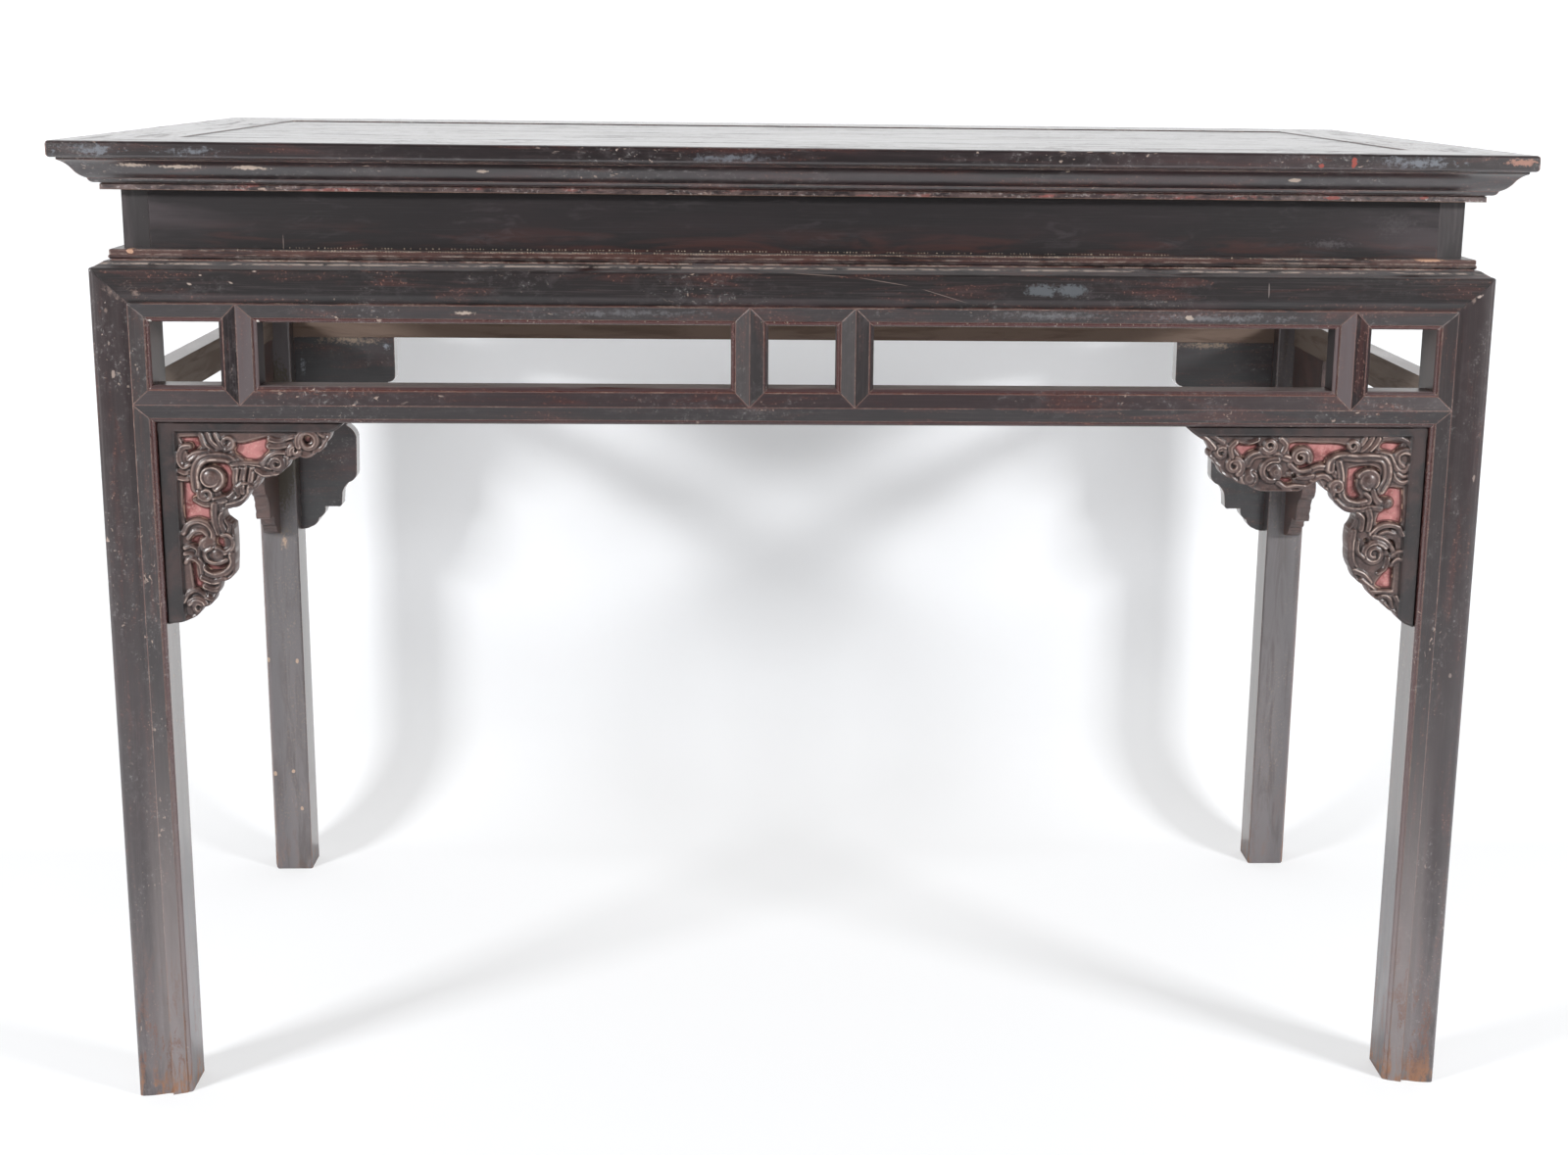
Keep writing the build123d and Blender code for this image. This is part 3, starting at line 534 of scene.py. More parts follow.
# Painted light and shade on sloping faces: faces tilted one way are painted dark and made dull, painted
# shade, and faces tilted the other way are painted lighter and greyer, painted light. The apron's band
# under its top edge is painted dark and made dull, painted shade
facetLightAndShade = {
    "strut_outer_left": [("#150e10", 0.95, 0.73, 0, "right", -0.05, -0.12),
                         ("#554a4c", 0.72, 0.36, 0, "right", 0.05, 0.12)],
    "strut_outer_right": [("#150e10", 0.95, 0.73, 0, "right", 0.05, 0.12),
                          ("#5b5052", 0.75, 0.36, 0, "right", -0.05, -0.12)],
    "strut_inner_left": [("#150e10", 0.85, 0.64, 0, "right", 0.05, 0.12)],
    "strut_inner_right": [("#150e10", 0.90, 0.66, 0, "right", 0.05, 0.12)],
    "stretcher": [("#150e10", 0.70, 0.56, 0, "up", -0.05, -0.12),
                  ("#393032", 0.60, 0.34, 0, "up", 0.05, 0.12, "up", 0.9, 0.8)],
    "apron": [("#110b0c", 0.85, 0.63, 0, "z", 764, 762.5, "z", 738, 742)],
}

# Looks that differ by kind, and layers over them by kind or by kind and place
bareWood, bareStreak = "#7d6551", "#4a3c33"
onTop, onFlat = ("up", 0.9, 0.98), ("flat", 0.97, 0.99)
coated = dict(blackLacquer, base="#110b0c", coat=0.15)
thinned = dict(blackLacquer, coat=0.35)
looks = {
    "leg": legLacquer, "waist": waistLacquer, "apron": coated, "sill": coated, "panel": topLacquer,
    "strut": thinned, "stretcher": thinned,
    "top_rail": dict(blackLacquer, patterns=topLacquer["patterns"]),
    "spandrel": dict(blackLacquer, base="#262527", roughness=0.42),
}
extras = {
    "leg_back": [
        ("#625e60", 0.75, 0.52, 0, "y", 236.5, 236),
        ("#3b3331", 0.50, None, 0, "y", 236.5, 236, "thin", 0.44, 0.66),
        ("#7b6d62", 0.45, 0.60, 0, "y", 236.5, 236, "fray", 0.54, 0.66, "cluster", 0.46, 0.60),
        # painted shade: the rear legs' faces turned sideways are painted darker
        ("#3f393a", 0.45, 0.58, 0, "side", 0.90, 0.98),
    ],
    "sill": [
        ("#44261f", 0.70, 0.45, 0, "up", 0.7, 0.4, "z", 771, 773, "thin", 0.34, 0.54),
        # partly worn edges and partly painted highlight: pale lines along the sill's edges
        ("#a4958c", 0.75, 0.58, 0, "flat", 0.995, 0.97, "scuff", 0.40, 0.54, "wear", 0.42, 0.56),
    ],
    "apron": [
        # partly worn edge and partly painted highlight: a pale line along the apron's top over its shoulder
        ("#a4958c", 0.80, 0.58, 0, "z", 765.2, 765.8, "z", 767, 766.4, "scuff", 0.38, 0.52,
         "wear", 0.42, 0.52),
    ],
    "panel": [(bareWood, 1.0, 0.75, 0, "z", 862, 861)],
    "batten": [(bareWood, 1.0, 0.75, 0)],
    # the tabletop's layers, partly painted sheen, on the rails' upward faces
    "top_rail": [layer + onTop for layer in topLacquer["layers"]] + [
        ("#5e4a46", 0.60, 0.48, 0, "z", 835, 833.5, "scuff", 0.38, 0.58),
        ("#7d3c36", 0.65, 0.45, 0, "z", 835, 833.5, "thin", 0.52, 0.60, "scuff", 0.40, 0.55),
        ("#9a918e", 0.60, 0.55, 0, "z", 835, 833.5, "fray", 0.52, 0.64, "wear", 0.44, 0.58),
    ],
    # painted shade: the struts' flat sides are painted dark and made dull
    "strut": [("#191314", 0.95, 0.76, 0, "side", 0.90, 0.98)],
}

# Softwood never lacquered, greyed and browned by age, on all that faces in or down
bareTints = {
    "stretcher_back": "#685950", "top_rail": bareWood, "waist": "#74604f", "apron": "#70594b",
    "stretcher": "#6b6058", "strut": "#6b5a50", "sill": "#74604f",
}
bareInside = {                # where the bare side of a member begins, in millimetres
    "top_rail": ("z", 828.25, 828.05), "waist": ("depth", 245, 244.6), "sill": ("depth", 245, 244.6),
    "apron": ("depth", 254, 253.6), "stretcher": ("depth", 254, 253.6), "strut": ("depth", 254, 253.6),
}


def grainAxis(kind, side):
    if kind in ("leg", "strut"):
        return "Z"
    across = kind == "batten" or side in ("left", "right") and kind != "spandrel"
    return "Y" if across else "X"


def ridgeLayers(kind):
    layers = []
    for places, tint, share, satin, *worn in ridged:
        for key, start, end, other, least in places.get(kind, ()):
            masks = []
            for value, line, edge in ((key, start, "start"), (key, end, "end"), (other, least, "beside")):
                masks += [value] + [line + step for step in ridgeEdge[edge]]
            layers.append((tint, share, satin, 0, *masks, *worn))
    return layers


def bareLayers(name, kind, along):
    # bare wood on the inner side, which lies further out at the table's ends than at its front
    key, start, full = bareInside[kind]
    if key == "depth":
        key = "y" if along == "X" or kind == "strut" else "x"
        shift = 0 if key == "y" else (table["halfLength"] - table["halfDepth"]) / mm
        start, full = start + shift, full + shift
    return [(bareTints.get(name, bareTints[kind]), 1.0, 0.75, 0, key, start, full),
            (bareStreak, 0.55, None, 0, key, start, full, "thin", 0.45, 0.65)]


def finishNodes():
    # One finish for all nodes that look the same. Its layers from the lowest: the first, ridges
    # and the facets' painted light and shade, wear, extras and bare wood
    made = {}
    for name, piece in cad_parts.items():
        kind, group, side = name.split("_")[0], *name.rsplit("_", 1)
        kind = "top_rail" if kind == "top" else kind
        along = grainAxis(kind, side)
        own = name if name in marksOn or name in facetLightAndShade or name in bareTints else ""
        wanted = (kind, group if group in extras else "", along, own)
        if wanted not in made:
            look = looks.get(kind, blackLacquer)
            first, *rest = look["layers"]
            under = ridgeLayers(kind)
            under += [layer + onFlat for layer in facetLightAndShade.get(name, facetLightAndShade.get(kind, ()))]
            over = extras.get(group, extras.get(kind, []))
            if kind in bareInside:
                over = over + bareLayers(name, kind, along)
            title = "".join(part.capitalize() for part in (name if name in marksOn else kind).split("_"))
            made[wanted] = makeFinish("lacquer" + title + along,
                                      dict(look, layers=[first] + under + rest + over),
                                      along, marksOn.get(name, ()))
        setMaterial(piece, made[wanted])
    print(len(made), "finishes")


carving = {
    "cell": 0.55,            # millimetres between the points of a carved face at the front
    "depth": 7.0,            # from the board's face down to the red ground
    "borderSide": 15.5,      # plain border beside the leg and under the stretcher
    "borderTop": 9.5,
    "borderLevel": 6.6,
    "borderEase": 1.2,       # rounding of its inner edge
    "borderHides": 0.6,      # carving that stands no more than this over it is under it
    "borderOuter": (4.0, 2.6, 2.0),   # level at the sawn edge, what it gains inwards, and over what
    "mass": 3.4,             # level of the carved wood between the strokes
    "groundSlope": 0.9,      # width of the fall from it to the red ground
    "rimWidth": 6.5,         # roll that follows the sawn edge
    "rimLevel": 4.9,
    "rimReach": 1.5,
    "edge": (3.0, 3.8, 2.4),     # the most a face stands at the sawn edge, as for borderOuter
    "moat": 0.6,             # knife cut round each stroke
    "shoulder": 2.1,         # width over which a stroke rounds up from its edge
    "rollFoot": 0.35,        # share of its level that a stroke has at its edge
    "domeFoot": 0.66,
    "domeRubbed": (0.35, 0.22),   # a dome's rubbed ring: middle and width as shares of its radius
    "ridge": (0.42, 0.27),   # middle and width across a stroke, from -1 to 1
    "lowRidge": (-0.62, 0.17),
    "hollow": (-0.18, 0.26),
    "ridgeRise": 0.9,        # for a stroke of this half width, less for narrow ones
    "hollowFall": 0.75,
    "fullHalf": 4,
    "sunk": 0.2,             # the whole stroke lies this much under its level
    "reach": 7,              # how far a stroke can go past its points, and past a curl's radius
    "curlReach": 5,
    "soften": 4,             # passes of rounding over the finished face
    "crest": 1.2,            # millimetres over or under its surroundings that count in full
    "unsawn": 0.3,           # the outline's edges this near to leg and stretcher aren't sawn
    "margin": 0.35,          # share of a cell that its points keep from the outline
    "edgeDrop": 0.5,         # the carved face comes down this much to its sawn edge
    "edgeRelief": (0.3, 0.6),     # the edge's relief at the face, at the least, and at the back
    "edgeRubbed": 0.3,
    "endGrown": (0.94, 1.21),     # the pattern's size on the end boards, along and down
    "endCell": 0.75,
}

# Strokes of a carving, the lowest first, in millimetres from the leg and down from the stretcher,
# their points written as x,y pairs.
# ground: points round a patch of the red ground
# roll: points of the middle line, width at its start and end, level
# curl: centre, first and last radius, first angle in degrees, turns, width at start and end, level
# dome and hole: centre, radius, level
leftStrokes = [
    ("ground", "18,14 34,13.5 38,20 31,26.5 25,29 21,21"),
    ("ground", "61,16 70,19 82,16 96,13.5 96,23 89,33 77,35.5 69,31 60,24"),
    ("ground", "18.5,53 28,51.5 32,60 37,71 45,75 43.5,87 34,88 19,90"),
    ("ground", "37,37.5 57,37 62.5,43 62,62 54,65 50.5,61 55,52 53,44 40,41"),
    ("ground", "34,126 44,128.5 54,125.5 50,132.5 39,133"),
    ("ground", "22,126 26.5,126 28,140 33.5,143 32,152 25,152"),
    ("ground", "23,103 33,100.5 35.5,105 26,113 22,111"),
    ("ground", "46,102.5 51,103 52.5,111 49,113.5 45,109"),
    ("roll", "60,30 47,27 39.5,21 36,11", 7.5, 5, 4.6),
    ("roll", "60,28.5 51,23 45,17 42.5,10.5", 6, 5, 5.2),
    ("roll", "62,27 55,21.5 51,16 49,11", 5.5, 4.5, 5.8),
    ("curl", "59,18.5", 6.2, 2.2, 100, -1.25, 5.4, 3.6, 6),
    ("roll", "96,15.5 104,17 112,14 121,12", 6.5, 5, 5),
    ("roll", "95,21.5 104,22 112,20 121,19", 6.5, 5, 5.4),
    ("roll", "26,22 20.5,23 17,29 17.2,36 20.5,40.5 26,38", 6.4, 4.5, 5.4),
    ("roll", "16.5,43.5 21.5,46 27,43.5 31,37", 5.5, 4.5, 5),
    ("roll", "16.5,50 23,51 28.5,47.5 32,42", 5.5, 4.5, 5.6),
    ("roll", "26,33 31,29.5 40,28 52,29", 7, 8, 5.2),
    ("roll", "31,59 30.5,47 33,38 39.5,32.5 50,31.2 60,33 66,41 67,52 65.5,62 59,68.5 50,70.5 "
             "42,71.5", 10, 10, 6),
    ("roll", "67,62 64.5,52 66,42", 7, 6, 5.6),
    ("roll", "71,62 70.5,52 73,40", 7, 6, 6.1),
    ("roll", "75,61 77.5,53 79.5,41.5", 7, 6, 5.7),
    ("roll", "79,58 84,53 87,46", 6.5, 5.5, 5.2),
    ("roll", "65.5,58 71,54 78,57", 4, 3.4, 6.7),
    ("roll", "62,38 75,37 88,38.5 96,41", 5, 5.5, 4.9),
    ("curl", "43.5,50", 10.5, 5.5, 70, -1.15, 6.4, 6, 5.7),
    ("dome", "43.5,49.5", 6.6, 6.6),
    ("curl", "38.5,64.5", 6.4, 2.2, 200, -1.2, 5.4, 4, 5.8),
    ("roll", "29,69.5 38,74 47,72 55,70", 5, 6, 5.4),
    ("roll", "77,59 75.5,66 68,71.5 57,74.5", 8, 6.5, 5.6),
    ("roll", "83,43 89,46.5 97,46 105,44 109,38 109,31", 5.5, 5, 5.2),
    ("curl", "100.5,37", 7.4, 2.6, 190, 1.35, 6.6, 4.4, 6),
    ("roll", "89,37 93.5,31 101,27 110,27.5", 5.8, 4.6, 5.6),
    ("curl", "117,25.4", 5.6, 2, 150, 1.2, 5.6, 4, 6),
    ("roll", "139,9 145,12.5 150,7.5 157,2.5", 8, 4, 5.2),
    ("roll", "134,27 141,22 145.5,14", 6, 4.5, 5),
    ("curl", "128.5,16.8", 9.3, 5.4, 150, 1.25, 7, 4.6, 6.4),
    ("hole", "127.5,15.5", 3.4, 0.5),
    ("roll", "57,79 51,83 50,90 53,99", 6, 6, 5.4),
    ("roll", "45,74 44.5,82 45,90 47,99", 7, 6, 5.8),
    ("roll", "55,88 57.5,94 55,101", 5, 4, 5),
    ("roll", "17.5,99 21.5,92 29.5,88.6 37.5,91 42.5,98 42,106", 6.2, 5, 5.6),
    ("roll", "21,104 26.5,98 33.5,97 38,102", 5, 4, 5),
    ("dome", "37,110", 7.5, 5.4),
    ("roll", "46,113.5 52,117 58.5,113 60,106.5 56,101 50.5,101.5", 6.2, 4.4, 6.2),
    ("roll", "58,119 58.5,127 52,134.8 42,137.5 33,132.5 29.5,124", 7, 6.4, 6),
    ("roll", "53.5,123.5 45,126.5 37,124 35,117 41,112.5", 5.4, 4.4, 6.2),
    ("dome", "46,119", 5.4, 5.6),
    ("roll", "18,112.5 24,110.8 29,114 28.5,120", 5, 4.4, 5.6),
    ("roll", "17.5,118 23.5,118.3 27.5,122", 4.6, 4, 5.2),
    ("roll", "18,126 21,122.6 26,122.8 30.5,128 31.5,137", 4.6, 4.4, 5.6),
    ("roll", "32,140 41,143.5 51,141", 7, 6, 5.4),
    ("roll", "34,147.5 42,150.5 49.5,147.5", 6.5, 5.5, 5.8),
    ("roll", "32.5,155.5 39.5,159 46.5,156", 6.5, 5, 5.4),
    ("roll", "14.5,161 19.5,153.5 26.5,151 33,155", 6, 4.6, 5.4),
    ("curl", "27.5,166", 8.4, 2.8, 200, 1.3, 6.4, 4.4, 5.8),
    ("roll", "13.5,168 15,175 23,177", 5.5, 4.5, 5),
]

rightStrokes = [
    ("ground", "21,15 38,14 42,20 34,23.5 27,22.5"),
    ("ground", "66,22 76,16 98,15 122,15 123,24 113,39 103,36 95,33.5 87,33.5 80,25 71,22.5"),
    ("ground", "133,22.5 146,18.5 158,14 171,13 173,19 166,28 161,31 157,24 146,22"),
    ("ground", "69.5,38 60,36 47,36 40.5,40 41.5,47 47,40 57,40.5 61,48 60.5,57 56,64 64,66.5 69.5,60"),
    ("ground", "18,56 30,55 40,60 41,65 33,65 27,72 36,76 40,82 39,90 18,92"),
    ("ground", "37,103 25,103.5 21.5,110 25,117 31,110"),
    ("ground", "22,122 26.5,122 29,131 34,138 38,146 30,150 22,150"),
    ("ground", "119,46.5 130,46.5 129,51.5 119,51.5"),
    ("roll", "47,11.5 35,10.3 24,11 16,14.5 13.5,22", 5.4, 4.6, 5.2),
    ("roll", "12,24 19.5,22 25.3,25.5 24.8,32 20,36.5", 8, 6, 5.8),
    ("roll", "45,25 34,26 29.5,32 25,39 18.5,40.3 14,34", 7, 4.6, 5.6),
    ("roll", "30.5,41 26.5,47.5 20.5,51 13,49", 6, 4.6, 5.4),
    ("roll", "24,43 19.5,45.5 13.5,44", 4.6, 3.8, 5),
    ("roll", "43.5,11 47,17 54,24 64,29", 6.2, 6.2, 5),
    ("roll", "49.5,10.5 53.5,17 60,22.5 69,27", 5.8, 5.8, 5.6),
    ("roll", "55.5,10.5 58.5,15.5 63,20", 5.2, 4.4, 6.1),
    ("curl", "66.5,17.8", 6.2, 2.2, 80, 1.25, 5.4, 3.6, 6),
    ("roll", "105,41 97,37.4 89,38 81,43 75,50", 7, 6.5, 5),
    ("roll", "101,48 92,44.8 85.5,48.5 81,54", 7, 5.5, 5.6),
    ("roll", "86,39 84.5,31.5 76,27.6 62,28.2 48,27.8 38.3,29.6 33.8,37 33.8,48 38.5,58", 9.4, 9.4, 6),
    ("roll", "78,33 75.3,44 74.8,57 70.8,67 61,70.5 52,69", 8, 8, 5.6),
    ("curl", "50,49.5", 10, 5, 330, -1.15, 6.4, 5.8, 5.8),
    ("dome", "50,49.5", 6.4, 6.6),
    ("curl", "78.8,55", 7, 2.4, 60, -1.35, 6, 4.2, 6.2),
    ("roll", "88.5,57 85,64 79.5,70", 6, 5, 5.2),
    ("roll", "52,61 47.5,66 50,71", 4.8, 4, 6.2),
    ("roll", "45.5,58.5 42.5,66 37,70.5 31,70", 5.5, 9.5, 5.7),
    ("dome", "32.3,70", 5.2, 6),
    ("roll", "79,67.5 71,74 58,76 46,74 37.5,75", 7.5, 6, 5.5),
    ("roll", "58.5,79.5 53.5,84 54,94", 5.8, 6, 5.4),
    ("roll", "48.5,77 46.5,84 47.5,94", 7.5, 6, 5.8),
    ("roll", "44.5,98 38.5,92.3 30,90 20.5,92 16,99", 6.4, 5, 5.6),
    ("roll", "38,99.5 31,96.2 23,98.5", 4.8, 4, 5),
    ("roll", "42,100.5 33,103.5 26.3,109 22.5,118", 6.2, 4.6, 5.8),
    ("roll", "60.5,96 61.5,108 60.5,122 55,132", 7, 6, 5.5),
    ("curl", "41,116.5", 12, 3.2, 210, 1.7, 6.2, 4.4, 6),
    ("roll", "56.5,105.5 56.3,114 50,120", 5, 4, 6.2),
    ("hole", "48.5,104.5", 2.4, 0.8),
    ("roll", "25.5,119.5 20,114.6 13.5,114.5", 5, 4, 5.4),
    ("roll", "24.5,127 19,121.3 13.5,123.5", 5, 4, 5),
    ("roll", "28,121 30,130 36,134.5", 5.8, 4.4, 5.4),
    ("roll", "58,132 49,136 42.5,143", 6.8, 5.4, 5.6),
    ("roll", "51,141 43,147 36,152", 6.8, 5.4, 5.2),
    ("roll", "44,151.5 34,152 22.5,151.5", 5.6, 4.6, 5.6),
    ("roll", "37,158.5 30,155.7 24.3,158 21.5,166", 5.6, 4.4, 5.8),
    ("roll", "34,163.5 27.5,164.3 22.5,171", 5.6, 4.4, 5.2),
    ("roll", "18,157 14.3,167 16,177", 5.6, 4.6, 5),
    ("roll", "161,34 156.5,27 146,25 133,26.5 122,30", 9, 8, 5.4),
    ("curl", "112.8,28", 8.6, 2.8, 160, 1.3, 7, 4.8, 6),
    ("roll", "122,35 114,41 104,39.5", 6, 4.6, 5.3),
    ("curl", "141.5,17.5", 7.4, 2.4, 20, 1.3, 6, 4, 6.2),
    ("roll", "131,12 126.5,17 129,24", 6.2, 5, 5.2),
    ("roll", "152,12.5 160,15 170,13", 5.4, 4, 4.9),
    ("curl", "137.5,41.5", 11.6, 4.6, 250, 1.2, 7, 5.4, 6.2),
    ("dome", "134.5,41.5", 6, 6.4),
    ("roll", "132,51 125,55.5 117,54 108,54.5", 5.6, 4.6, 5.8),
    ("roll", "122,43 112,46.5 101,45", 6.6, 5.4, 5.3),
    ("hole", "118,45", 2.2, 0.8),
    ("dome", "158,47.5", 8.6, 5.6),
    ("curl", "158,47.5", 7.6, 6.6, 330, 0.75, 4, 3.4, 6.4),
    ("curl", "172.3,36", 8.4, 2.8, 120, 1.4, 6.6, 4.4, 5.9),
    ("curl", "184,24", 7, 2.4, 200, 1.3, 6, 4, 5.5),
    ("roll", "172,14.5 176.5,20 174.5,28", 6.4, 5, 6),
    ("roll", "214,2.5 204,8.5 197,13.5 191,20", 6.5, 6.5, 4.9),
    ("roll", "199,6 191,10.5 183,15", 5.6, 5, 5.3),
]


def readPoints(text):
    return [tuple(float(number) for number in pair.split(",")) for pair in text.split()]


def smoothPath(points, steps=6):
    # Catmull-Rom through the listed points
    ends = [points[0]] + points + [points[-1]]
    path = []
    for a, b, c, d in zip(ends, ends[1:], ends[2:], ends[3:]):
        for i in range(steps):
            x = i / steps
            path.append(tuple(0.5 * (2 * q + (r - p) * x + (2 * p - 5 * q + 4 * r - s) * x * x
                                     + (3 * q - p - 3 * r + s) * x ** 3)
                              for p, q, r, s in zip(a, b, c, d)))
    return path + [points[-1]]


def curlPath(centre, first, last, angle, turns, steps=26):
    # a spiral that winds in, faster at its start
    path = []
    for i in range(steps + 1):
        share = i / steps
        radius = first + (last - first) * share ** 0.8
        turn = math.radians(angle) + share * turns * 2 * math.pi
        path.append((centre[0] + radius * math.cos(turn), centre[1] + radius * math.sin(turn)))
    return path


def nearPath(path, s, t):
    # distance of every point to the path, share of the path run there, side, and the nearest point
    gap = np.full(s.shape, 1e9)
    share, side, nearS, nearT = (np.zeros(s.shape) for _ in range(4))
    for i, ((s0, t0), (s1, t1)) in enumerate(zip(path, path[1:])):
        ds, dt = s1 - s0, t1 - t0
        k = np.clip(((s - s0) * ds + (t - t0) * dt) / max(ds * ds + dt * dt, 1e-9), 0, 1)
        qs, qt = s0 + k * ds, t0 + k * dt
        here = np.hypot(s - qs, t - qt)
        closer = here < gap
        for kept, new in ((gap, here), (share, (i + k) / (len(path) - 1)),
                          (side, np.sign(ds * (t - t0) - dt * (s - s0))), (nearS, qs), (nearT, qt)):
            kept[closer] = new[closer]
    return gap, share, side, nearS, nearT


def insideLoop(loop, s, t):
    within = np.zeros(s.shape, bool)
    for (s0, t0), (s1, t1) in zip(loop, loop[1:] + loop[:1]):
        crosses = (t0 > t) != (t1 > t)
        within ^= crosses & (s < (s1 - s0) * (t - t0) / (t1 - t0 + 1e-12) + s0)
    return within


def eased(x):
    # a rise from 0 to 1 that is steep at first
    return np.sqrt(np.clip(x, 0, 1))


def bell(x, middle, width):
    return np.exp(-((x - middle) / width) ** 2)


def strokeSection(kind, spots, sizes, s, t):
    # Where one stroke lies, its heights and the ridges that hands have rubbed, near that stroke.
    # inner is the distance inwards from the stroke's edge
    if kind == "ground":
        loop = smoothPath(spots + spots[:1], 4)
        gap = nearPath(loop, s, t)[0]
        inner = np.where(insideLoop(loop, s, t), gap, -gap)
        fall = np.clip(1 - inner / carving["groundSlope"], 0, 1) ** 2
        return inner, carving["mass"] * fall, np.zeros(s.shape)
    if kind in ("dome", "hole"):
        radius, level = sizes
        gap = np.hypot(s - spots[0][0], t - spots[0][1])
        if kind == "hole":
            return radius - gap, np.full(s.shape, level), np.zeros(s.shape)
        foot = carving["domeFoot"]
        swell = level * (foot + (1 - foot) * eased(1 - (gap / radius) ** 2))
        return radius - gap, swell, 0.6 * bell(gap / radius, *carving["domeRubbed"])
    start, end, level = sizes[-3:]
    path = smoothPath(spots) if kind == "roll" else curlPath(spots[0], *sizes[:4])
    gap, share, side = nearPath(path, s, t)[:3]
    half = (start + (end - start) * share) / 2
    # a broad ridge, a hollow, and a narrow ridge at the other edge
    across = gap * side / half
    shoulder = eased(1 - (1 - np.clip((half - gap) / carving["shoulder"], 0, 1)) ** 2)
    ridge = bell(across, *carving["ridge"]) + 0.5 * bell(across, *carving["lowRidge"])
    carved = carving["ridgeRise"] * ridge - carving["hollowFall"] * bell(across, *carving["hollow"])
    scale = np.clip(half / carving["fullHalf"], 0.5, 1.25)
    foot = carving["rollFoot"]
    swell = level * (foot + (1 - foot) * shoulder) + scale * carved - carving["sunk"]
    return half - gap, swell, np.clip(ridge, 0, 1) * shoulder


def carveFace(strokes, s, t):
    # heights over the red ground and rubbed ridges, stroke after stroke
    height = np.full(s.shape, carving["mass"])
    rubbed = np.zeros(s.shape)
    for kind, points, *sizes in strokes:
        spots = readPoints(points)
        reach = carving["reach"] if kind in ("roll", "ground") else sizes[0] + carving["curlReach"]
        rows, columns = (slice(*np.searchsorted(line, (min(p[i] for p in spots) - reach,
                                                       max(p[i] for p in spots) + reach)))
                         for i, line in enumerate((s[:, 0], t[0, :])))
        inner, swell, ridge = strokeSection(kind, spots, sizes, s[rows, columns], t[rows, columns])
        cut = 0 if kind == "ground" else np.clip(1 + inner / carving["moat"], 0, 1) * carving["moat"]
        part = height[rows, columns]
        height[rows, columns] = np.where(inner > 0, swell, np.maximum(part - cut, 0))
        part = rubbed[rows, columns]
        rubbed[rows, columns] = np.where(inner > 0, ridge, part * (1 - np.clip(cut, 0, 1)))
    return height, rubbed


def faceHeights(strokes, s, t, sawn, grown):
    # the whole carved face with its rim and its plain border, over the red ground
    height, rubbed = carveFace(strokes, s / grown[0], t / grown[1])
    rim = carving["rimLevel"] * eased(1 - (sawn / carving["rimWidth"]) ** 4)
    height = np.maximum(height, np.where(sawn < carving["rimReach"], rim, 0))
    least, gain, over = carving["edge"]
    height = np.minimum(height, least + gain * eased(sawn / over))
    # the border stands over the carving, with an eased inner edge
    inBorder = np.maximum(carving["borderSide"] - s, carving["borderTop"] - t)
    level = carving["borderLevel"] * eased(inBorder / carving["borderEase"])
    border = (inBorder > 0) & (level > height - carving["borderHides"])
    least, gain, over = carving["borderOuter"]
    height = np.where(border, np.minimum(level, least + gain * eased(sawn / over)), height)
    height = np.clip(height, 0, carving["depth"])
    for step in range(carving["soften"]):
        beside = sum(np.roll(height, shift, (0, 1)) for shift in ((1, 0), (-1, 0), (0, 1), (0, -1)))
        height = 0.5 * height + 0.125 * beside
    return height, np.where(border, 0, rubbed), border


def boardOutline(node, axis, face):
    # outline of the flat face of a board that lies at that value of an axis, as points in 3-D
    mesh = bmesh.new()
    mesh.from_mesh(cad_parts[node].data)
    bmesh.ops.remove_doubles(mesh, verts=mesh.verts, dist=1e-6)
    flat = {f for f in mesh.faces if all(abs(v.co[axis] - face) < 1e-5 for v in f.verts)}
    links = {}
    for f in flat:
        for e in f.edges:
            if sum(g in flat for g in e.link_faces) == 1:
                for a, b in (e.verts, reversed(e.verts)):
                    links.setdefault(a, []).append(b)
    loop = [next(iter(links))]
    while len(loop) < len(links):
        before = loop[-2] if len(loop) > 1 else None
        loop.append(next(v for v in links[loop[-1]] if v is not before))
    points = [v.co.copy() for v in loop]
    mesh.free()
    return points


def gridFaces(keep):
    # the points of a grid whose four-sided cells are all kept, and those cells as faces
    cells = keep[:-1, :-1] & keep[1:, :-1] & keep[:-1, 1:] & keep[1:, 1:]
    used = np.zeros(keep.shape, bool)
    for i in (0, 1):
        for j in (0, 1):
            used[i:used.shape[0] - 1 + i, j:used.shape[1] - 1 + j] |= cells
    index = np.full(keep.shape, -1)
    index[used] = np.arange(used.sum())
    quads = np.stack([index[:-1, :-1], index[1:, :-1], index[1:, 1:], index[:-1, 1:]], axis=-1)
    return used, [tuple(q) for q in quads[cells].tolist()]


def closedMesh(name, vertices, faces, marks):
    # a mesh with its marks as attributes and its open loop, the board's back, filled
    mesh = bpy.data.meshes.new(name)
    mesh.from_pydata(vertices, [], faces)
    for key, numbers in zip(("relief", "crest", "rubbed", "plain"), zip(*marks)):
        mesh.attributes.new(key, "FLOAT", "POINT").data.foreach_set("value", numbers)
    edit = bmesh.new()
    edit.from_mesh(mesh)
    bmesh.ops.triangle_fill(edit, edges=[e for e in edit.edges if e.is_boundary], use_beauty=False)
    bmesh.ops.recalc_face_normals(edit, faces=edit.faces)
    edit.to_mesh(mesh)
    edit.free()
    mesh.shade_smooth()
    mesh.set_sharp_from_angle(angle=math.radians(50))
    return mesh


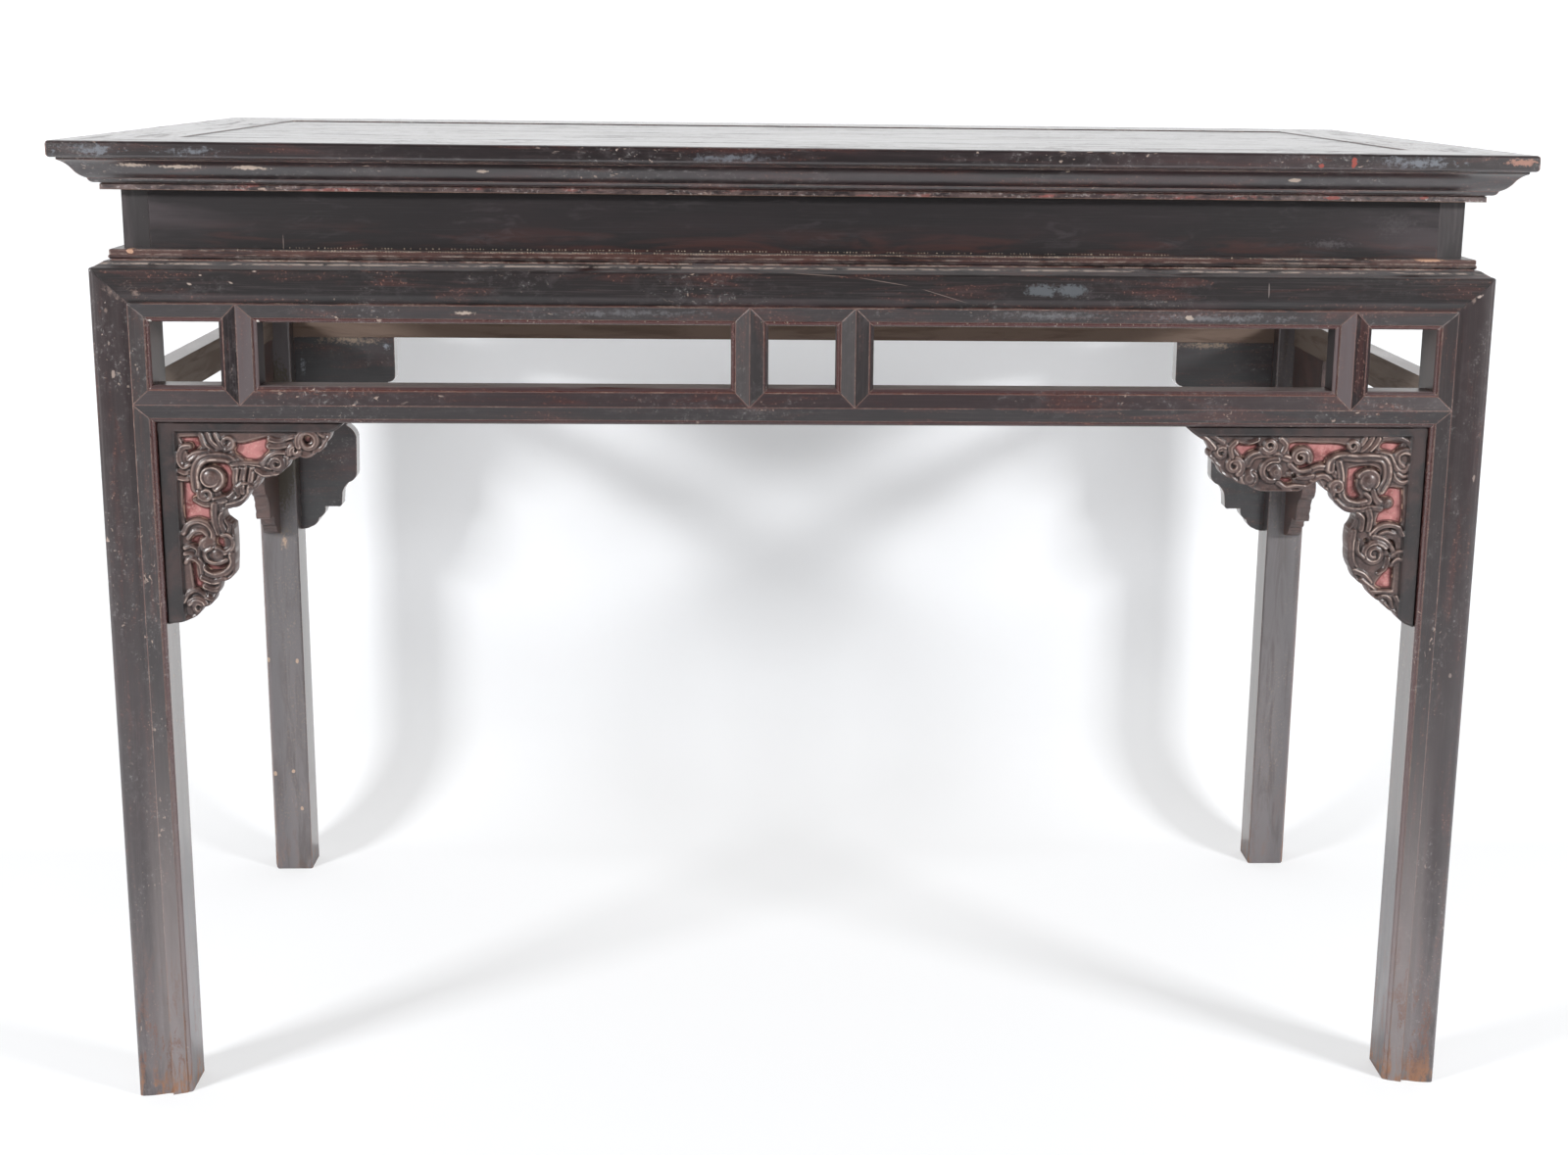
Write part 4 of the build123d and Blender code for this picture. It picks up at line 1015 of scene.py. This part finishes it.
def carvedBoard(name, node, strokes, out, side, grown=(1, 1), cell=carving["cell"]):
    # A board with its outer face carved. out is the axis and the sign of that face, side the sign
    # that leads from the leg along the stretcher
    low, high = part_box(node)
    outAxis, outSign = out
    alongAxis = 1 - outAxis
    face, back = (high, low) if outSign > 0 else (low, high)
    face, back = face[outAxis], back[outAxis]
    corners = boardOutline(node, outAxis, face)
    legFace = min(p[alongAxis] * side for p in corners) * side
    top = max(p.z for p in corners)
    outline = [((p[alongAxis] - legFace) * side / mm, (top - p.z) / mm) for p in corners]
    outline.append(outline[0])

    s, t = np.meshgrid(*(np.arange(cell, max(p[i] for p in outline), cell) for i in (0, 1)), indexing="ij")
    gapEdge = nearPath(outline, s, t)[0]
    sawn = np.full(s.shape, 1e9)
    for a, b in zip(outline, outline[1:]):
        if min(max(a[0], b[0]), max(a[1], b[1])) > carving["unsawn"]:
            sawn = np.minimum(sawn, nearPath([a, b], s, t)[0])
    height, rubbed, border = faceHeights(strokes, s, t, sawn, grown)
    shifts = [(i, j) for i in (-3, -1, 1, 3) for j in (-3, -1, 1, 3)]
    around = sum(np.roll(height, shift, (0, 1)) for shift in shifts) / len(shifts)
    crest = np.clip((height - around) / carving["crest"], -1, 1)

    def place(sPoint, tPoint, level):
        p = [0.0, 0.0, top - tPoint * mm]
        p[alongAxis] = legFace + side * sPoint * mm
        p[outAxis] = face - outSign * (carving["depth"] - level) * mm
        return p

    used, faces = gridFaces(insideLoop(outline[:-1], s, t) & (gapEdge > carving["margin"] * cell))
    vertices = [place(*v) for v in zip(s[used], t[used], height[used])]
    marks = list(zip(height[used] / carving["depth"], crest[used], rubbed[used], border[used].astype(float)))

    # the edge of the kept cells is joined to the outline, and the outline to the board's back
    sides = {(a, b) for f in faces for a, b in zip(f, f[1:] + f[:1])}
    edges = [(a, b) for a, b in sides if (b, a) not in sides]
    ring = sorted({v for e in edges for v in e})
    edgeS, edgeT = nearPath(outline, s[used][ring], t[used][ring])[3:]
    front, behind = {}, {}
    levels = np.maximum(height[used][ring] - carving["edgeDrop"], 0)
    upper, under = carving["edgeRelief"]
    for v, sPoint, tPoint, level in zip(ring, edgeS, edgeT, levels):
        front[v], behind[v] = len(vertices), len(vertices) + 1
        lower = place(sPoint, tPoint, 0)
        lower[outAxis] = back
        vertices += [place(sPoint, tPoint, level), lower]
        marks += [(max(level / carving["depth"], upper), 0.0, carving["edgeRubbed"], 0.0),
                  (under, 0.0, 0.0, 0.0)]
    for a, b in edges:
        faces += [(b, a, front[a], front[b]), (front[b], front[a], behind[a], behind[b])]
    board = newObject(name, closedMesh(name, vertices, faces, marks))
    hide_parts(node)
    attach(board, "root")
    print(name, "has", len(board.data.polygons), "faces")
    return board


# Carved hardwood under worn brown lacquer: the rubbed ridges pale, the sunk ground dusty red, with
# cream gesso where the knife went down to it, and a plain black border. The hollows among the strokes
# and the red ground beside them are painted dark, painted shade
carvedLacquer = {
    "base": "#33221f",
    "roughness": 0.40,
    "coat": 0.35,
    "coatRoughness": 0.22,
    "edgeRadius": 0.5,
    "attributes": ("relief", "crest", "rubbed", "plain"),
    "patterns": {
        "broad": (22, 22, 4, 0.6, 0.5),
        "scuff": (9, 9, 4, 0.6, 0.4),
        "fine": (2.4, 2.4, 3, 0.6, 0.0),
    },
    "waves": {"fine": 0.10, "broad": 0.3},
    "layers": [
        ("#4e3934", 0.90, 0.48, 0, "broad", 0.38, 0.62),
        ("#6d5650", 0.45, 0.55, 0, "fine", 0.50, 0.78),
        # painted shade: hollows lower than their surroundings are painted near black
        ("#150e0e", 0.85, 0.60, 0, "crest", -0.05, -0.6),
        ("#7d6a62", 0.60, 0.46, 0, "crest", 0.08, 0.5, "broad", 0.34, 0.56),
        ("#b09c91", 0.75, 0.44, 0, "rubbed", 0.40, 1.0, "scuff", 0.40, 0.62),
        ("#733d3c", 1.0, 0.65, 0, "relief", 0.10, 0.05),
        ("#ad7674", 0.85, 0.70, 0, "relief", 0.10, 0.05, "broad", 0.34, 0.58),
        ("#c0a096", 0.45, 0.75, 0, "relief", 0.10, 0.05, "fine", 0.50, 0.74),
        # painted shade: the red ground is darkened where it dips beside the strokes
        ("#3f201e", 0.80, 0.70, 0, "relief", 0.10, 0.05, "crest", -0.04, -0.45),
        ("#c0a08c", 0.55, 0.75, 0, "relief", 0.03, 0.10, "relief", 0.36, 0.18, "scuff", 0.48, 0.64),
        ("#181213", 1.0, 0.40, 0, "plain", 0.4, 0.6),
        ("#33211f", 0.75, 0.44, 0, "plain", 0.4, 0.6, "broad", 0.40, 0.62),
        ("#6f6562", 0.35, 0.55, 0, "plain", 0.4, 0.6, "fine", 0.60, 0.80),
    ],
}


def makeCarvings():
    finish = makeFinish("carvedLacquer", carvedLacquer)
    boards = [("front", "left", leftStrokes, (1, -1), 1), ("front", "right", rightStrokes, (1, -1), -1)]
    # the ends carry the left board's pattern, drawn longer down the leg
    for hand, sign in (("left", -1), ("right", 1)):
        for end, side in (("front", 1), ("back", -1)):
            boards.append((hand, end, leftStrokes, (0, sign), side, carving["endGrown"], carving["endCell"]))
    for first, second, *drawn in boards:
        name = "carving" + first.capitalize() + second.capitalize()
        setMaterial(carvedBoard(name, "spandrel_" + first + "_" + second, *drawn), finish)


# The gesso under the lacquer shows as short ticks where edges have chipped: on the waist's foot, the
# sill and the apron's lower edge. Each run has its start and end, both on the front, its spacing in
# metres, and the share of ticks that is there
tickRuns = [
    ((-0.445, -0.2581, 0.7787), (0.330, -0.2581, 0.7787), 0.0027, 0.60),
    ((-0.445, -0.2679, 0.7772), (0.300, -0.2679, 0.7772), 0.0024, 0.85),
    ((0.300, -0.2679, 0.7774), (0.520, -0.2679, 0.7774), 0.0040, 0.45),
    ((-0.560, -0.2679, 0.7774), (-0.445, -0.2679, 0.7774), 0.0060, 0.45),
    ((-0.560, -0.2679, 0.7681), (0.560, -0.2679, 0.7681), 0.0052, 0.45),
    ((-0.380, -0.2821, 0.7205), (0.420, -0.2821, 0.7205), 0.0110, 0.45),
]
tick = {
    "small": (0.00035, 0.00022, 0.00035),    # half sizes of the least and the greatest tick
    "large": (0.00100, 0.00045, 0.00100),
    "turn": 0.5,             # radians either way
    "seed": 7,
    "dirt": 220.0,           # specks of dirt to the metre
}


def tickTree(material):
    # ticks of random size along a line from Start to End
    tree = bpy.data.node_groups.new("gessoTicks", "GeometryNodeTree")
    tree.is_modifier = True
    for name, kind in (("Start", "Vector"), ("End", "Vector"), ("Spacing", "Float"), ("Kept", "Float")):
        tree.interface.new_socket(name, in_out="INPUT", socket_type="NodeSocket" + kind)
    tree.interface.new_socket("Ticks", in_out="OUTPUT", socket_type="NodeSocketGeometry")
    given = addNode(tree, "NodeGroupInput", output="Start").node.outputs
    line = addNode(tree, "GeometryNodeCurvePrimitiveLine", {"Start": given["Start"], "End": given["End"]})
    points = addNode(tree, "GeometryNodeCurveToPoints", {"Curve": line, "Length": given["Spacing"]},
                     output="Points", mode="LENGTH")
    seed, most = tick["seed"], tick["turn"]
    kept = addNode(tree, "FunctionNodeRandomValue", {"Probability": given["Kept"], "Seed": seed},
                   output="Value", data_type="BOOLEAN")
    size = addNode(tree, "FunctionNodeRandomValue", {0: tick["small"], 1: tick["large"], "Seed": seed + 1},
                   output="Value", data_type="FLOAT_VECTOR")
    turn = addNode(tree, "FunctionNodeRandomValue", {0: (-most,) * 3, 1: (most,) * 3, "Seed": seed + 2},
                   output="Value", data_type="FLOAT_VECTOR")
    chip = addNode(tree, "GeometryNodeMeshIcoSphere", {"Radius": 1.0, "Subdivisions": 1}, output="Mesh")
    placed = addNode(tree, "GeometryNodeInstanceOnPoints", {
        "Points": points, "Selection": kept, "Instance": chip, "Rotation": turn, "Scale": size})
    real = addNode(tree, "GeometryNodeRealizeInstances", {"Geometry": placed})
    done = addNode(tree, "GeometryNodeSetMaterial", {"Geometry": real, "Material": material})
    addNode(tree, "NodeGroupOutput", {"Ticks": done})
    return tree


def makeTicks():
    # Gesso, a chalky ground of glue and clay: dull cream, greyed by dirt in its pores
    material, tree = newMaterial("chalkyGesso")
    place = addNode(tree, "TexCoord", output="Object")
    dirt = addNode(tree, "TexNoise", {"Vector": place, "Scale": tick["dirt"], "Detail": 2.0},
                   output="Fac")
    colour = addNode(tree, "Mix", {0: dirt, 6: hexColour("#a0917f"), 7: hexColour("#574a43")},
                     data_type="RGBA")
    shader = addNode(tree, "BsdfPrincipled", {"Base Color": colour, "Roughness": 0.85})
    addNode(tree, "OutputMaterial", {"Surface": shader})

    group = tickTree(material)
    sockets = {item.name: item.identifier for item in group.interface.items_tree if item.in_out == "INPUT"}
    whole = bmesh.new()
    for run in tickRuns:
        carrier = newObject("tickRun", bpy.data.meshes.new("tickRun"))
        grown = carrier.modifiers.new("ticks", "NODES")
        grown.node_group = group
        for name, value in zip(("Start", "End", "Spacing", "Kept"), run):
            grown[sockets[name]] = value
        evaluated = carrier.evaluated_get(bpy.context.evaluated_depsgraph_get())
        mesh = bpy.data.meshes.new_from_object(evaluated)
        whole.from_mesh(mesh)
        carrier.modifiers.remove(grown)
        bpy.data.meshes.remove(mesh)
        bpy.data.objects.remove(carrier)
    mesh = bpy.data.meshes.new("gessoTicks")
    whole.to_mesh(mesh)
    whole.free()
    mesh.materials.append(material)
    ticks = newObject("gessoTicks", mesh)
    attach(ticks, "root")
    print("ticks of gesso:", len(mesh.polygons), "faces")


bpy.context.scene.view_settings.view_transform = "Standard"
makeCamera()
makeStage()
makeLight()
print("camera, sweep and lamps are set")
finishNodes()
print("finishes are on the frame's nodes")
makeCarvings()
print("the carved boards stand in their places")
makeTicks()
